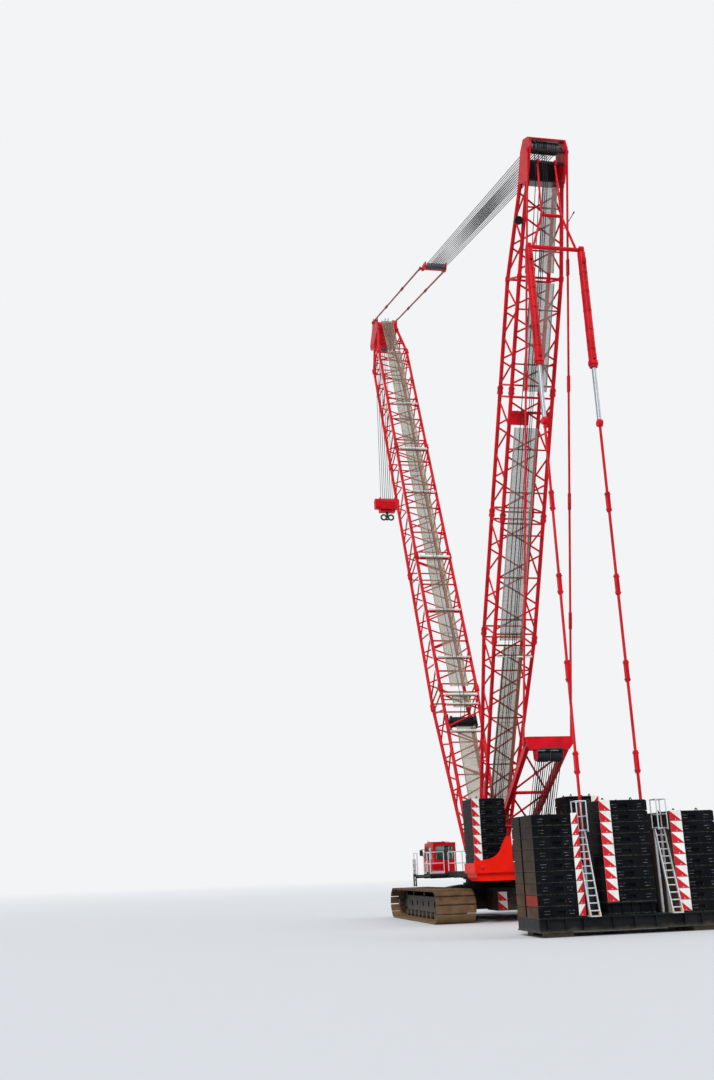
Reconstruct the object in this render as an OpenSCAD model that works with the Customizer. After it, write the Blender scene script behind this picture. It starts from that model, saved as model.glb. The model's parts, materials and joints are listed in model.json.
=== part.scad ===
// Lattice-boom crawler crane with a superlift mast and a suspended counterweight tray.
// Half-size model: every length is half of the real machine's, in millimetres.
// X forward along the boom, Y to the left, Z up; the ground is z = 0 and the slewing axis is x = y = 0.

/* [Crawlers] */
// Length of each crawler over its track shoes
track_length = 5300; // [4700:50:5600]
// Height of each crawler
track_height = 800; // [740:10:860]
// Width of the track shoes
shoe_width = 1000; // [860:10:1040]
// Distance between the crawlers' centre planes
track_gauge = 3740; // [3600:20:3900]
// Thickness of a track shoe's pad
shoe_thickness = 42; // [34:1:50]
// Number of track shoes round one crawler
shoe_count = 56; // [48:2:60]

/* [Superstructure] */
// Length of the slewing platform behind the slewing axis
deck_tail = 3450; // [3250:10:3600]
// Width of the slewing platform's main frame
deck_width = 1000; // [900:10:1060]
// Height of the platform's underside above the ground
deck_z = 1010; // [990:5:1060]
// Depth of the platform's main girders
deck_depth = 340; // [300:5:360]
// Number of slabs in each of the platform's counterweight stacks
deck_slabs = 7; // [5:1:8]
// Thickness of one counterweight slab
slab_thickness = 213; // [200:1:220]

/* [Boom] */
// Length of the main boom from its foot pins to its head pins
boom_length = 23900; // [22800:100:24400]
// Angle of the main boom above the horizontal
boom_angle = 66.3; // [62:0.1:72]
// Width of the main boom's lattice over its chord axes
boom_width = 1150; // [1100:10:1200]
// Depth of the main boom's lattice over its chord axes
boom_depth = 1150; // [1060:10:1200]
// Diameter of the main boom's chords
boom_chord = 104; // [90:2:116]
// Diameter of the lacing tubes
lacing = 48; // [38:1:56]

/* [Superlift mast] */
// Length of the superlift mast from its foot pins to its head
mast_length = 18500; // [17900:100:18900]
// Lean of the mast behind the vertical
mast_lean = 26; // [24:0.1:28]
// Width of the mast's lattice over its chord axes
mast_width = 1090; // [1040:10:1120]
// Depth of the mast's lattice over its chord axes
mast_depth = 920; // [860:10:960]
// Diameter of the mast's chords
mast_chord = 100; // [90:2:110]

/* [Superlift counterweight] */
// Width of the superlift tray
tray_width = 3850; // [3700:10:3940]
// Depth of the superlift tray
tray_depth = 1240; // [1160:10:1280]
// Height of the tray's base frame
tray_base = 350; // [300:5:380]
// Number of slabs in each outer stack of the tray
tray_slabs = 9; // [7:1:9]

/* [Hoisting] */
// Height of the hook block's sheave axle above the ground
hook_height = 15600; // [12000:100:17000]
// Diameter of the hook block's sheaves
hook_sheave = 400; // [360:10:420]

/* [Hidden] */

$fn = 32;
clearance = 6;                   // running clearance between moving pieces
pin_play = 0.3;                  // radial play of a pin in its bore
seat = 0.5;                      // gap where one piece only rests on or runs against another
overlap = 6;                     // how far fused pieces run into each other

crane_red = "#d3232b";
carrier_red = "#e0322c";
ballast_black = "#2b2d30";
chassis_dark = "#34312f";
shoe_brown = "#5d5348";
grating_tan = "#b8a888";
steel_grey = "#8d9196";
chrome_rod = "#d9dce0";
rope_grey = "#6f7c89";
rail_grey = "#c3c7c9";
hazard_white = "#f0efe9";

// --- places worked out from the driving sizes -------------------------------------------------

boom_foot = [850, 0, 1480];      // main boom's foot pins, in the platform's lugs
mast_foot = [60, 0, 1640];       // superlift mast's foot pins
frame_foot = [-760, 0, 1500];    // A-frame's foot pins
frame_head = [-4800, 0, 4050];   // A-frame's crossbeam

boom_axis = [cos(boom_angle), 0, sin(boom_angle)];
mast_axis = [-sin(mast_lean), 0, cos(mast_lean)];
boom_tip = boom_foot + boom_length * boom_axis;
mast_tip = mast_foot + mast_length * mast_axis;

deck_top = deck_z + deck_depth;
tray_x = mast_tip.x;             // the tray hangs straight below the mast's head
track_y = track_gauge / 2;
boom_foot_half = 430;            // half the spread of the boom's foot lugs
mast_foot_half = 290;            // half the spread of the mast's foot lugs

// boom sections: name, start and end along the boom, number of lacing bays
boom_sections = [
    ["foot", 0, 5300, 8],
    ["lower", 5300, 10600, 8],
    ["middle", 10600, 15900, 8],
    ["upper", 15900, boom_length - 2500, 8],
];
// mast sections: start and end along the mast, number of lacing bays
mast_sections = [
    ["foot", 0, 6100, 8],
    ["lower", 6100, 9300, 4],
    ["upper", 9300, 12500, 4],
];
mast_head_start = 12500;         // where the mast's head section begins
mast_taper_start = 15300;        // where the head section begins to taper
boom_head_start = boom_length - 2500;

// --- shared shapes ----------------------------------------------------------------------------

// a round tube between two points, turned about its own axis
module bar(a, b, d, sides = $fn, turn = 0) {
    v = b - a;
    l = norm(v);
    translate(a) rotate([0, acos(v.z / l), atan2(v.y, v.x)]) rotate(turn) cylinder(d = d, h = l, $fn = sides);
}

// a square tube between two points: w wide across the crane, h deep
module strut(a, b, w, h) {
    v = b - a;
    l = norm(v);
    translate(a) rotate([0, acos(v.z / l), atan2(v.y, v.x)]) translate([-h / 2, -w / 2, 0]) cube([h, w, l]);
}

// a box given by its lower and upper corners
module block(a, b) {
    translate(a) cube(b - a);
}

// a cylinder along Y, centred on a point
module along_y(p, d, l) {
    translate(p) rotate([90, 0, 0]) cylinder(d = d, h = l, center = true);
}

// the four corners of a lattice: half depth along X, half width along Y
function corner(s, sx, sy, z) = [sx * s.x / 2, sy * s.y / 2, z];

// a four-chord lattice from z0 to z1, with [depth, width] s0 at its start and s1 at its end; its zigzag lacing
// keeps gap from both ends
module lattice(z0, z1, s0, s1, bays, chord, lace, first = 1, gap = 60) {
    function size(t) = s0 + t * (s1 - s0);
    function z(t) = z0 + t * (z1 - z0);
    // place of lacing node i as a share of the section's length, the first and last gap from its ends
    function at(i) = (gap + i * (z1 - z0 - 2 * gap) / bays) / (z1 - z0);
    // a chord stops short inside its collars, 12 mm from the section's ends; its seam faces outwards
    for (sx = [-1, 1], sy = [-1, 1]) {
        a = corner(size(12 / (z1 - z0)), sx, sy, z0 + 12);
        b = corner(size(1 - 12 / (z1 - z0)), sx, sy, z1 - 12);
        bar(a, b, chord, $fn, atan2(sy * 0.94, sx * 0.34) - atan2(b.y - a.y, b.x - a.x));
    }
    // one zigzag on each face; no two faces share a node on a chord, so opposite faces cross each other
    for (i = [0:bays - 1]) {
        a = at(i);
        b = at(i + 1);
        k = (i % 2 == 0) ? first : -first;
        for (s = [-1, 1]) {
            bar(corner(size(a), s, -s * k, z(a) + 0.75 * lace), corner(size(b), s, s * k, z(b) - 0.75 * lace), lace, 12);
            bar(corner(size(a), s * k, s, z(a) + 0.75 * lace), corner(size(b), -s * k, s, z(b) - 0.75 * lace), lace, 12);
        }
    }
}

// a square frame of tubes round a lattice at height z
module batten(z, s, d) {
    for (k = [-1, 1]) {
        bar(corner(s, k, -1, z), corner(s, k, 1, z), d, 12);
        bar(corner(s, -1, k, z), corner(s, 1, k, z), d, 12);
    }
}

// the joint sleeves at one end of a lattice section
module sleeves(z, s, d, h) {
    for (sx = [-1, 1], sy = [-1, 1])
        translate(corner(s, sx, sy, z)) cylinder(d = d, h = h);
}

module on_boom() {
    translate(boom_foot) rotate([0, 90 - boom_angle, 0]) children();
}

module on_mast() {
    translate(mast_foot) rotate([0, -mast_lean, 0]) children();
}

// one rope sheave along Y: a disc with a rim groove
module sheave(p, d, w, bore) {
    groove = w * 0.35;
    translate(p) rotate([90, 0, 0]) rotate_extrude()
        polygon([
            [bore / 2, -w / 2], [d / 2, -w / 2], [d / 2, -w / 2 + (w - groove) / 4],
            [d / 2 - groove, -w * 0.12], [d / 2 - groove, w * 0.12],
            [d / 2, w / 2 - (w - groove) / 4], [d / 2, w / 2], [bore / 2, w / 2],
        ]);
}

// distance from a sheave's centre at which the end of a rope of that diameter rests in the groove
function in_groove(d, w, rope) = d / 2 - 0.35 * w + max(0, (rope / 2 - 0.12 * w) / 0.2175 * 0.35) + 0.4;

// --- undercarriage ----------------------------------------------------------------------------

ring_radius = 820;
car_z0 = 300;
car_z1 = 850;

module car_body() {
    half = track_y - shoe_width / 2 - 20;
    color(chassis_dark) difference() {
        union() {
            translate([0, 0, car_z0]) cylinder(r = 1150, h = car_z1 - car_z0, $fn = 8);
            // four cross legs that carry the crawler frames, deeper towards the middle
            for (x = [-1, 1], y = [-1, 1]) {
                translate([x * 850 + 260, 0, 0]) rotate([0, -90, 0]) linear_extrude(520) polygon([
                    [car_z0 - 40, 0], [car_z0 - 40, y * (half - 420)], [car_z0 + 40, y * (half - 260)], [car_z0 + 40, y * half],
                    [car_z1 - 60, y * half], [car_z1 - 60, y * (half - 200)], [car_z1 - 20, y * (half - 460)], [car_z1 - 20, 0]]);
                // end flange against the crawler frame's seat
                block([x * 850 - 290, y > 0 ? half - 36 : -half, car_z0 + 20], [x * 850 + 290, y > 0 ? half : 36 - half, car_z1 - 50]);
            }
            translate([0, 0, car_z1 - overlap]) cylinder(r = ring_radius, h = deck_z - 20 - seat - car_z1 + overlap);
            // bolted flange below the slewing ring
            translate([0, 0, car_z1 - overlap]) cylinder(r = ring_radius + 70, h = 60);
            // brackets of the two ballast stacks
            for (x = [-1, 1], y = [-300, 300])
                block([x > 0 ? 1000 : -ballast_x[1] + 40, y - 60, car_z0 + 60], [x > 0 ? ballast_x[1] - 40 : -1000, y + 60, car_z0 + 140]);
        }
        // lightening pockets in the legs
        for (x = [-1, 1], y = [-1, 1])
            block([x * 850 - 180, y * (half - 150) - 80, car_z0], [x * 850 + 180, y * (half - 150) + 80, car_z0 + 120]);
    }
    // ballast stacks in front of and behind the car body
    color(ballast_black) for (x = [0, 1]) mirror([1 - x, 0, 0]) slabs(ballast_x, [-700, 700], 250, 3, 180);
}

ballast_x = [1350, 2250];        // near and far side of the car body's ballast

// outline of the loop that the track runs along, as a stadium of radius r and length l over its ends
module stadium(l, r) {
    for (x = [-1, 1]) translate([x * (l / 2 - r), 0]) circle(r = r, $fn = 48);
    square([l - 2 * r, 2 * r], center = true);
}

track_r = track_height / 2;
belt = shoe_thickness + 26;      // shoe pad and link together

// one crawler's closed track with its shoes in the outline
module track(side) {
    straight = track_length - 2 * track_r;
    loop = 2 * straight + 2 * PI * (track_r - shoe_thickness);
    pitch = loop / shoe_count;
    r = track_r - shoe_thickness;
    color(shoe_brown)
    translate([0, side * track_y, track_r]) rotate([90, 0, 0]) union() {
        linear_extrude(shoe_width * 0.56, center = true) difference() {
            stadium(track_length - 2 * shoe_thickness, r);
            stadium(track_length - 2 * belt, track_r - belt);
        }
        // each shoe's pad has bevelled edges across the track and is rounded off at the turns
        linear_extrude(shoe_width, center = true) intersection() {
            stadium(track_length, track_r);
            for (i = [0:shoe_count - 1])
                place((i + 0.5) * pitch, straight, r) polygon([
                    [-0.45 * pitch, -6], [0.45 * pitch, -6], [0.45 * pitch, 0.55 * shoe_thickness],
                    [0.36 * pitch, shoe_thickness], [-0.36 * pitch, shoe_thickness], [-0.45 * pitch, 0.55 * shoe_thickness]]);
        }
    }
}

// moves children to arc length s of the stadium whose straight runs are l long and whose radius is r
module place(s, l, r) {
    turn = PI * r;
    if (s < l) translate([-l / 2 + s, -r]) rotate(180) children();
    else if (s < l + turn) translate([l / 2, 0]) rotate((s - l) / r * 180 / PI + 180) translate([0, r]) children();
    else if (s < 2 * l + turn) translate([l / 2 - (s - l - turn), r]) children();
    else translate([-l / 2, 0]) rotate((s - 2 * l - turn) / r * 180 / PI) translate([0, r]) children();
}

module track_frame(side) {
    inner = track_r - belt - seat;
    wheel = 2 * inner;
    axle = track_length / 2 - track_r;
    color(chassis_dark) translate([0, side * track_y, track_r]) {
        difference() {
            union() {
                // box girder with sloping ends between the drive sprocket and the idler
                rotate([90, 0, 0]) linear_extrude(380, center = true) polygon([
                    [-axle + 330, -90], [-axle + 450, -inner + 164], [axle - 450, -inner + 164], [axle - 330, -90],
                    [axle - 330, 90], [axle - 520, inner - 124], [-axle + 520, inner - 124], [-axle + 330, 90]]);
                // leg seats towards the car body
                for (x = [-1, 1])
                    block([x * 850 - 250, side > 0 ? -shoe_width / 2 - 20 : 150, -130],
                          [x * 850 + 250, side > 0 ? -150 : shoe_width / 2 + 20, 170]);
            }
            for (i = [-2:2])
                translate([i * 620, 0, 20]) rotate([90, 0, 0]) cylinder(d = 150, h = 500, center = true);
        }
        for (x = [-1, 1]) {
            // sprocket and idler: two rims, a web and a stepped hub
            for (k = [-1, 1]) along_y([x * axle, k * 110, 0], wheel, 50);
            along_y([x * axle, 0, 0], wheel * 0.82, 200);
            along_y([x * axle, 0, 0], wheel * 0.5, 420);
            along_y([x * axle, 0, 0], wheel * 0.34, 640);
            // fork that carries the axle
            for (k = [-1, 1])
                block([min(x * axle, x * (axle - 420)), k * 165 - 20, -90], [max(x * axle, x * (axle - 420)), k * 165 + 20, 90]);
        }
        // bottom rollers and top rollers, carried by the girder
        for (i = [0:8])
            along_y([-1760 + i * 440, 0, -inner + 85], 170, 440);
        for (i = [0:2])
            along_y([-1200 + i * 1200, 0, inner - 65], 130, 300);
    }
}

// --- superstructure ---------------------------------------------------------------------------

// lug plates for a pin along Y: plates at y = half and y = -half, standing on base_z
module lugs(p, half, t, r, base_z) {
    for (s = [-1, 1])
        translate([p.x, s * half + t / 2, p.z]) rotate([90, 0, 0]) {
            cylinder(r = r, h = t);
            translate([-r, base_z - p.z, 0]) cube([2 * r, p.z - base_z, t]);
        }
}

// an eye plate along Y: round of radius r, t thick, with a bore
module eye(p, r, t, bore) {
    translate(p) rotate([90, 0, 0]) difference() {
        cylinder(r = r, h = t, center = true);
        cylinder(d = bore, h = t + 2, center = true);
    }
}

foot_pin = 110;                  // diameter of the boom, mast and A-frame foot pins

module slewing_platform() {
    color(crane_red) {
        difference() {
            union() {
                // two deep girders and a floor between them
                for (s = [-1, 1])
                    block([-deck_tail, s > 0 ? deck_width / 2 - 120 : -deck_width / 2, deck_z],
                          [1150, s > 0 ? deck_width / 2 : -deck_width / 2 + 120, deck_top]);
                block([-deck_tail, -deck_width / 2 + 60, deck_z], [1150, deck_width / 2 - 60, deck_z + 60]);
                translate([0, 0, deck_z - 20]) cylinder(r = ring_radius + 60, h = ring_top - deck_z + 20);
                block([-900, -deck_width / 2 + 60, deck_z], [-840, deck_width / 2 - 60, deck_top]);
                block([-2300, -deck_width / 2 + 60, deck_z], [-2240, deck_width / 2 - 60, deck_top]);
                block([1090, -deck_width / 2 + 60, deck_z], [1150, deck_width / 2 - 60, deck_top]);
            }
            translate([0, 0, deck_z - 30]) cylinder(r = 420, h = 200);
        }
        lugs(boom_foot, boom_foot_half + 65, 50, 120, deck_top - overlap);
        lugs(boom_foot, boom_foot_half - 65, 50, 120, deck_z + 20);
        lugs(mast_foot, mast_foot_half + 62, 44, 110, deck_z + 20);
        lugs(frame_foot, 470, 50, 110, deck_top - overlap);
    }
    // bearing plates of the two winches
    color(crane_red) for (p = drum_places, s = [-1, 1])
        translate([p[0], s * (deck_width / 2 - 60), p[1]]) rotate([90, 0, 0]) difference() {
            linear_extrude(60, center = true) polygon([
                [-220, deck_top - p[1] - overlap], [220, deck_top - p[1] - overlap], [50, 60], [-80, 60]]);
            cylinder(d = drum_shaft + 2 * pin_play, h = 70, center = true);
        }
    // foot pins
    color(steel_grey) {
        for (s = [-1, 1]) {
            along_y([boom_foot.x, s * boom_foot_half, boom_foot.z], foot_pin, 190);
            along_y([mast_foot.x, s * mast_foot_half, mast_foot.z], foot_pin, 180);
            along_y([frame_foot.x, s * (deck_width / 2 - 73), frame_foot.z], foot_pin, 138);
        }
    }
}

power_x = [-2050, -300];         // power pack on the right side of the platform

module power_pack() {
    top = deck_top + 620;
    color(crane_red) {
        difference() {
            // housing with a bevelled roof edge on a recessed base
            union() {
                translate([power_x[0], 0, 0]) rotate([90, 0, 90]) linear_extrude(power_x[1] - power_x[0]) polygon([
                    [-1450, deck_z + 170], [-1450, top - 90], [-1380, top], [-deck_width / 2, top], [-deck_width / 2, deck_z + 170]]);
                block([power_x[0] + 40, -1400, deck_z + 80], [power_x[1] - 40, -deck_width / 2, deck_z + 180]);
            }
            // cooling-air grilles in the outer side and the rear
            for (i = [0:8]) {
                block([power_x[0] + 180, -1470, deck_top - 60 + i * 62], [power_x[0] + 780, -1420, deck_top - 30 + i * 62]);
                block([power_x[0] - 20, -1300, deck_top - 60 + i * 62], [power_x[0] + 30, -740, deck_top - 30 + i * 62]);
            }
            // door joints
            for (x = [880, 1300]) block([power_x[0] + x, -1460, deck_z + 230], [power_x[0] + x + 8, -1442, top - 110]);
        }
        // silencer and its tail pipe
        translate([power_x[0] + 300, -980, top + 90]) rotate([0, 90, 0]) cylinder(d = 200, h = 560);
        for (x = [380, 780]) block([power_x[0] + x - 30, -1040, top - 4], [power_x[0] + x + 30, -920, top + 60]);
        translate([power_x[0] + 780, -980, top + 120]) cylinder(d = 90, h = 190);
    }
}

cab_x = [240, 1340];
cab_y = [1010, 1650];
cab_z = [1160, 1970];
cab_wall = 26;

module cab_outline(grow) {
    // side view of the cab: slanted windscreen at the front
    polygon([
        [cab_x[0] - grow, cab_z[0] - grow], [cab_x[1] - 60, cab_z[0] - grow], [cab_x[1] + grow, cab_z[0] + 330],
        [cab_x[1] - 180 + grow, cab_z[1] + grow], [cab_x[0] - grow, cab_z[1] + grow],
    ]);
}

module cab_shell() {
    color(crane_red) difference() {
        translate([0, cab_y[1], 0]) rotate([90, 0, 0]) linear_extrude(cab_y[1] - cab_y[0]) cab_outline(0);
        translate([0, cab_y[1] - cab_wall, 0]) rotate([90, 0, 0])
            linear_extrude(cab_y[1] - cab_y[0] - 2 * cab_wall) cab_outline(-cab_wall);
        // windscreen with a lower pane, rear, right, left quarter and roof windows
        block([cab_x[1] - 330, cab_y[0] + 60, cab_z[0] + 340], [cab_x[1] + 60, cab_y[1] - 60, cab_z[1] - 70]);
        block([cab_x[1] - 160, cab_y[0] + 90, cab_z[0] + 110], [cab_x[1] + 60, cab_y[1] - 90, cab_z[0] + 290]);
        block([cab_x[0] - 20, cab_y[0] + 70, cab_sill], [cab_x[0] + 60, cab_y[1] - 70, cab_z[1] - 90]);
        block([cab_x[0] + 100, cab_y[0] - 20, cab_sill], [cab_x[0] + 480, cab_y[0] + 60, cab_z[1] - 90]);
        block([cab_x[0] + 540, cab_y[0] - 20, cab_sill], [cab_x[1] - 280, cab_y[0] + 60, cab_z[1] - 90]);
        block([door_x[1] + 60, cab_y[1] - 60, cab_sill], [cab_x[1] - 280, cab_y[1] + 20, cab_z[1] - 90]);
        block([cab_x[0] + 400, cab_y[0] + 80, cab_z[1] - 60], [cab_x[1] - 300, cab_y[1] - 80, cab_z[1] + 20]);
        // doorway on the left
        block([door_x[0] - clearance, cab_y[1] - cab_wall - 10, cab_z[0] + 60 - clearance],
              [door_x[1] + clearance, cab_y[1] + 20, cab_z[1] - 60 + clearance]);
    }
    // door hinge pins, each on a bracket below its barrel
    color(steel_grey) for (z = [cab_z[0] + 160, cab_z[1] - 260]) {
        translate([door_x[0] - 2, cab_y[1] + hinge_out, z - 40]) cylinder(d = door_pin, h = 120);
        block([door_x[0] - 40, cab_y[1] - 10, z - 40], [door_x[0] - clearance - 2, cab_y[1] + hinge_out, z - seat]);
        block([door_x[0] - 40, cab_y[1] + clearance, z - 40], [door_x[0] + 7, cab_y[1] + hinge_out + 10, z - seat]);
    }
    // seat and console
    color(ballast_black) {
        block([cab_x[0] + 180, cab_y[0] + 170, cab_z[0] + cab_wall - 2], [cab_x[0] + 540, cab_y[1] - 170, cab_z[0] + 240]);
        block([cab_x[0] + 180, cab_y[0] + 170, cab_z[0] + 230], [cab_x[0] + 270, cab_y[1] - 170, cab_z[0] + 600]);
        block([cab_x[1] - 320, cab_y[0] + 160, cab_z[0] + cab_wall - 2], [cab_x[1] - 210, cab_y[1] - 160, cab_z[0] + 320]);
    }
}

door_x = [cab_x[0] + 90, cab_x[0] + 640];
cab_sill = cab_z[0] + 360;       // lower edge of the side and rear windows
door_pin = 14;
hinge_out = 18;                  // the door's hinge axis lies this far outside the cab's side

module cab_door() {
    color(crane_red) difference() {
        block([door_x[0], cab_y[1] - cab_wall, cab_z[0] + 60], [door_x[1], cab_y[1], cab_z[1] - 60]);
        block([door_x[0] + 60, cab_y[1] - 60, cab_sill], [door_x[1] - 60, cab_y[1] + 20, cab_z[1] - 110]);
    }
    // hinge barrels on the cab's pins
    color(steel_grey) for (z = [cab_z[0] + 160, cab_z[1] - 260])
        translate([door_x[0] - 2, cab_y[1] + hinge_out, z]) difference() {
            union() {
                cylinder(r = 16, h = 80);
                translate([0, -hinge_out - 2, 0]) cube([50, hinge_out + 4, 80]);
            }
            translate([0, 0, -1]) cylinder(d = door_pin + 2 * pin_play, h = 82);
        }
    // handle
    color(steel_grey) block([door_x[1] - 120, cab_y[1] - 4, cab_z[0] + 290], [door_x[1] - 40, cab_y[1] + 22, cab_z[0] + 312]);
}

// a handrail along X or Y through a list of post places, with a middle rail
module handrail(points, z, h) {
    for (p = points) translate([p.x, p.y, z - overlap]) cylinder(d = 26, h = h + overlap, $fn = 16);
    for (i = [0:len(points) - 2], k = [0.5, 1])
        bar([points[i].x, points[i].y, z + h * k], [points[i + 1].x, points[i + 1].y, z + h * k], 24, $fn = 16);
}

walk_z = deck_z + 130;           // top of the walkways beside the platform
ring_top = deck_z + 40;          // top of the platform's flange over the slewing ring

module cab_platform() {
    out = 1500;
    wide = 1980;
    color(chassis_dark) {
        // left walkway and the wide landing outside the cab
        block([-2700, deck_width / 2, walk_z - 60], [cab_x[1] - 40, out, walk_z]);
        block([-600, out - overlap, walk_z - 50], [cab_x[1] - 40, wide, walk_z]);
        for (x = [-2400, -1700, -1000, -300, 400, 1100])
            translate([x + 40, 0, 0]) rotate([0, -90, 0]) linear_extrude(80) polygon([
                [ring_top + 10, deck_width / 2], [ring_top + 10, deck_width / 2 + 300], [walk_z - 90, out - 60], [walk_z - 55, out - 60], [walk_z - 55, deck_width / 2]]);
        for (x = [-500, 200, 1200]) block([x - 30, out - 100, walk_z - 90], [x + 30, wide - 40, walk_z - 45]);
        // support that the cab stands on
        block([cab_x[0] + 40, cab_y[0] + 20, walk_z - 10], [cab_x[1] - 160, cab_y[1] - 20, cab_z[0]]);
    }
    color(rail_grey) {
        handrail([[-2660, out - 30], [-1980, out - 30], [-1300, out - 30], [-640, out - 30]], walk_z, 560);
        handrail([[-570, wide - 30], [-240, wide - 30]], walk_z, 560);
        handrail([[130, 1390], [130, wide - 30]], walk_z, 580);
        handrail([[900, wide - 30], [cab_x[1] - 70, wide - 30]], walk_z, 580);
        block([124, 1390, walk_z - 4], [136, wide - 30, walk_z + 90]);
        // boarding ladder outside the cab's front corner
        for (x = [cab_x[1] - 330, cab_x[1] - 90]) block([x - 12, wide - 20, walk_z - 300], [x + 12, wide + 16, walk_z + 420]);
        for (i = [0:4]) bar([cab_x[1] - 330, wide, walk_z - 270 + i * 140], [cab_x[1] - 90, wide, walk_z - 270 + i * 140], 24, 12);
    }
}

stack_y = [790, 1630];           // inner and outer side of a platform stack
stack_x = [-3620, -2860];
carrier_z = deck_z + 390;

module counterweight_carrier() {
    color(carrier_red) {
        difference() {
            block([stack_x[0] - 40, -stack_y[1] - 30, carrier_z - 230], [stack_x[1] + 40, stack_y[1] + 30, carrier_z]);
            block([-deck_tail, -deck_width / 2, carrier_z - 240], [stack_x[1] + 60, deck_width / 2, carrier_z + 20]);
        }
        block([stack_x[0] - 40, -deck_width / 2 - 20, carrier_z - 230], [-deck_tail, deck_width / 2 + 20, carrier_z + 200]);
        // lower beams at both sides of the platform
        for (s = [-1, 1])
            translate([stack_x[0] + 10, 0, 0]) rotate([90, 0, 90]) linear_extrude(stack_x[1] - stack_x[0]) polygon([
                [s * deck_width / 2, deck_z - 25], [s * (stack_y[1] - 120), deck_z - 25], [s * (stack_y[1] - 30), deck_z + 60],
                [s * (stack_y[1] - 30), carrier_z - 220], [s * deck_width / 2, carrier_z - 220]]);
        // rear plates that sweep up towards the middle
        for (s = [1, -1]) translate([stack_x[0] - 40, 0, 0]) rotate([90, 0, -90]) mirror([s > 0 ? 1 : 0, 0, 0])
            linear_extrude(30) polygon(concat(
                [[stack_y[1] + 30, carrier_z - 230], [stack_y[1] + 30, carrier_z + 50], [stack_y[1] - 150, carrier_z + 50]],
                [for (a = [0:12.5:75]) [stack_y[1] - 270 - 420 * sin(a), carrier_z + 80 + 420 * (1 - cos(a))]],
                [[stack_y[0] + 80, carrier_z + 540], [stack_y[0] + 40, carrier_z + 600], [stack_y[0] - 90, carrier_z + 600],
                 [stack_y[0] - 90, carrier_z - 230]]
            ));
    }
}

// a stack of slabs with stepped upper edges and a lifting pocket in each rear face: x and y ranges, start height,
// count, thickness
module slabs(x, y, z, n, t) {
    for (i = [0:n - 1]) {
        difference() {
            block([x[0], y[0], z + i * t], [x[1], y[1], z + (i + 1) * t - 16]);
            // lifting pocket in the rear face
            block([x[0] - 1, (y[0] + y[1]) / 2 - 90, z + i * t + 55], [x[0] + 40, (y[0] + y[1]) / 2 + 90, z + i * t + 125]);
        }
        block([x[0] + 18, y[0] + 18, z + (i + 1) * t - 20], [x[1] - 18, y[1] - 18, z + (i + 1) * t]);
    }
}

module deck_stack(side) {
    y = side > 0 ? stack_y : [-stack_y[1], -stack_y[0]];
    color(ballast_black) slabs(stack_x, y, carrier_z, deck_slabs, slab_thickness);
    // hazard board at the outer rear edge
    color(hazard_white) {
        e = side * (stack_y[1] - 98);
        block([stack_x[0] - 22, e - 97, carrier_z + 4], [stack_x[0] + 4, e + 97, carrier_z + deck_slabs * slab_thickness - 20]);
    }
}

drum_shaft = 90;
drum_places = [[-1250, 1600], [-2050, 1600]];    // x and z of the hoist drum and of the boom hoist drum

module drum(p, d, w) {
    color(steel_grey) {
        along_y([p[0], 0, p[1]], d, w);
        along_y([p[0], 0, p[1]], drum_shaft, deck_width - 40);
        for (s = [-1, 1]) along_y([p[0], s * (w / 2 - 15), p[1]], d + 130, 30);
    }
    color(rope_grey) along_y([p[0], 0, p[1]], d + 60, w - 80);
}

module hoist_drum() drum(drum_places[0], 300, 640);
module boom_hoist_drum() drum(drum_places[1], 300, 640);

// --- A-frame ----------------------------------------------------------------------------------

frame_half = 430;                // spread of the A-frame's legs at the foot
frame_top_half = 500;
frame_beam_half = 575;

module a_frame() {
    v = frame_head - frame_foot;
    // a point on the axis of the leg at side s, as a share of the way from foot to head
    function on_leg(s, t) = [frame_foot.x, s * (frame_half - 50), frame_foot.z] + t * (v + [0, s * (frame_top_half - frame_half + 50), 0]);
    color(crane_red) {
        for (s = [-1, 1]) {
            eye([frame_foot.x, s * (frame_half - 34), frame_foot.z], 84, 74, foot_pin + 2 * pin_play);
            strut(on_leg(s, 0.0145), on_leg(s, 1), 104, 150);
        }
        // cross tubes and diagonals between the legs
        for (t = [0.3, 0.6]) bar(on_leg(-1, t), on_leg(1, t), 80);
        for (k = [-1, 1]) {
            bar(on_leg(-k, 0.31), on_leg(k, 0.59), 50, 12);
            bar(on_leg(-k, 0.61), on_leg(k, 0.93), 50, 12);
        }
        // crossbeam with bevelled lower ends
        translate(frame_head - [170, 0, 0]) rotate([90, 0, 90]) linear_extrude(340) polygon([
            [-frame_beam_half, 150], [frame_beam_half, 150], [frame_beam_half, -30], [frame_beam_half - 100, -150],
            [100 - frame_beam_half, -150], [-frame_beam_half, -30]]);
        // sheave housing below the crossbeam
        for (y = [-320, 0, 320]) translate(frame_head + [0, y, 0]) rotate([90, 0, 0]) linear_extrude(30, center = true)
            polygon([[-150, -140], [150, -140], [110, -360], [50, -400], [-50, -400], [-110, -360]]);
    }
    color(steel_grey) for (s = [-1, 1], i = [0:4]) sheave(frame_head + [0, s * (50 + i * 54), -300], 260, 40, 0);
    color(steel_grey) along_y(frame_head + [0, 0, -300], 60, 700);
}

// --- main boom --------------------------------------------------------------------------------

foot_depth = 380;                // depth of the boom where its foot lugs begin
boom_size = [boom_depth, boom_width];
mast_size = [mast_depth, mast_width];

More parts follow.
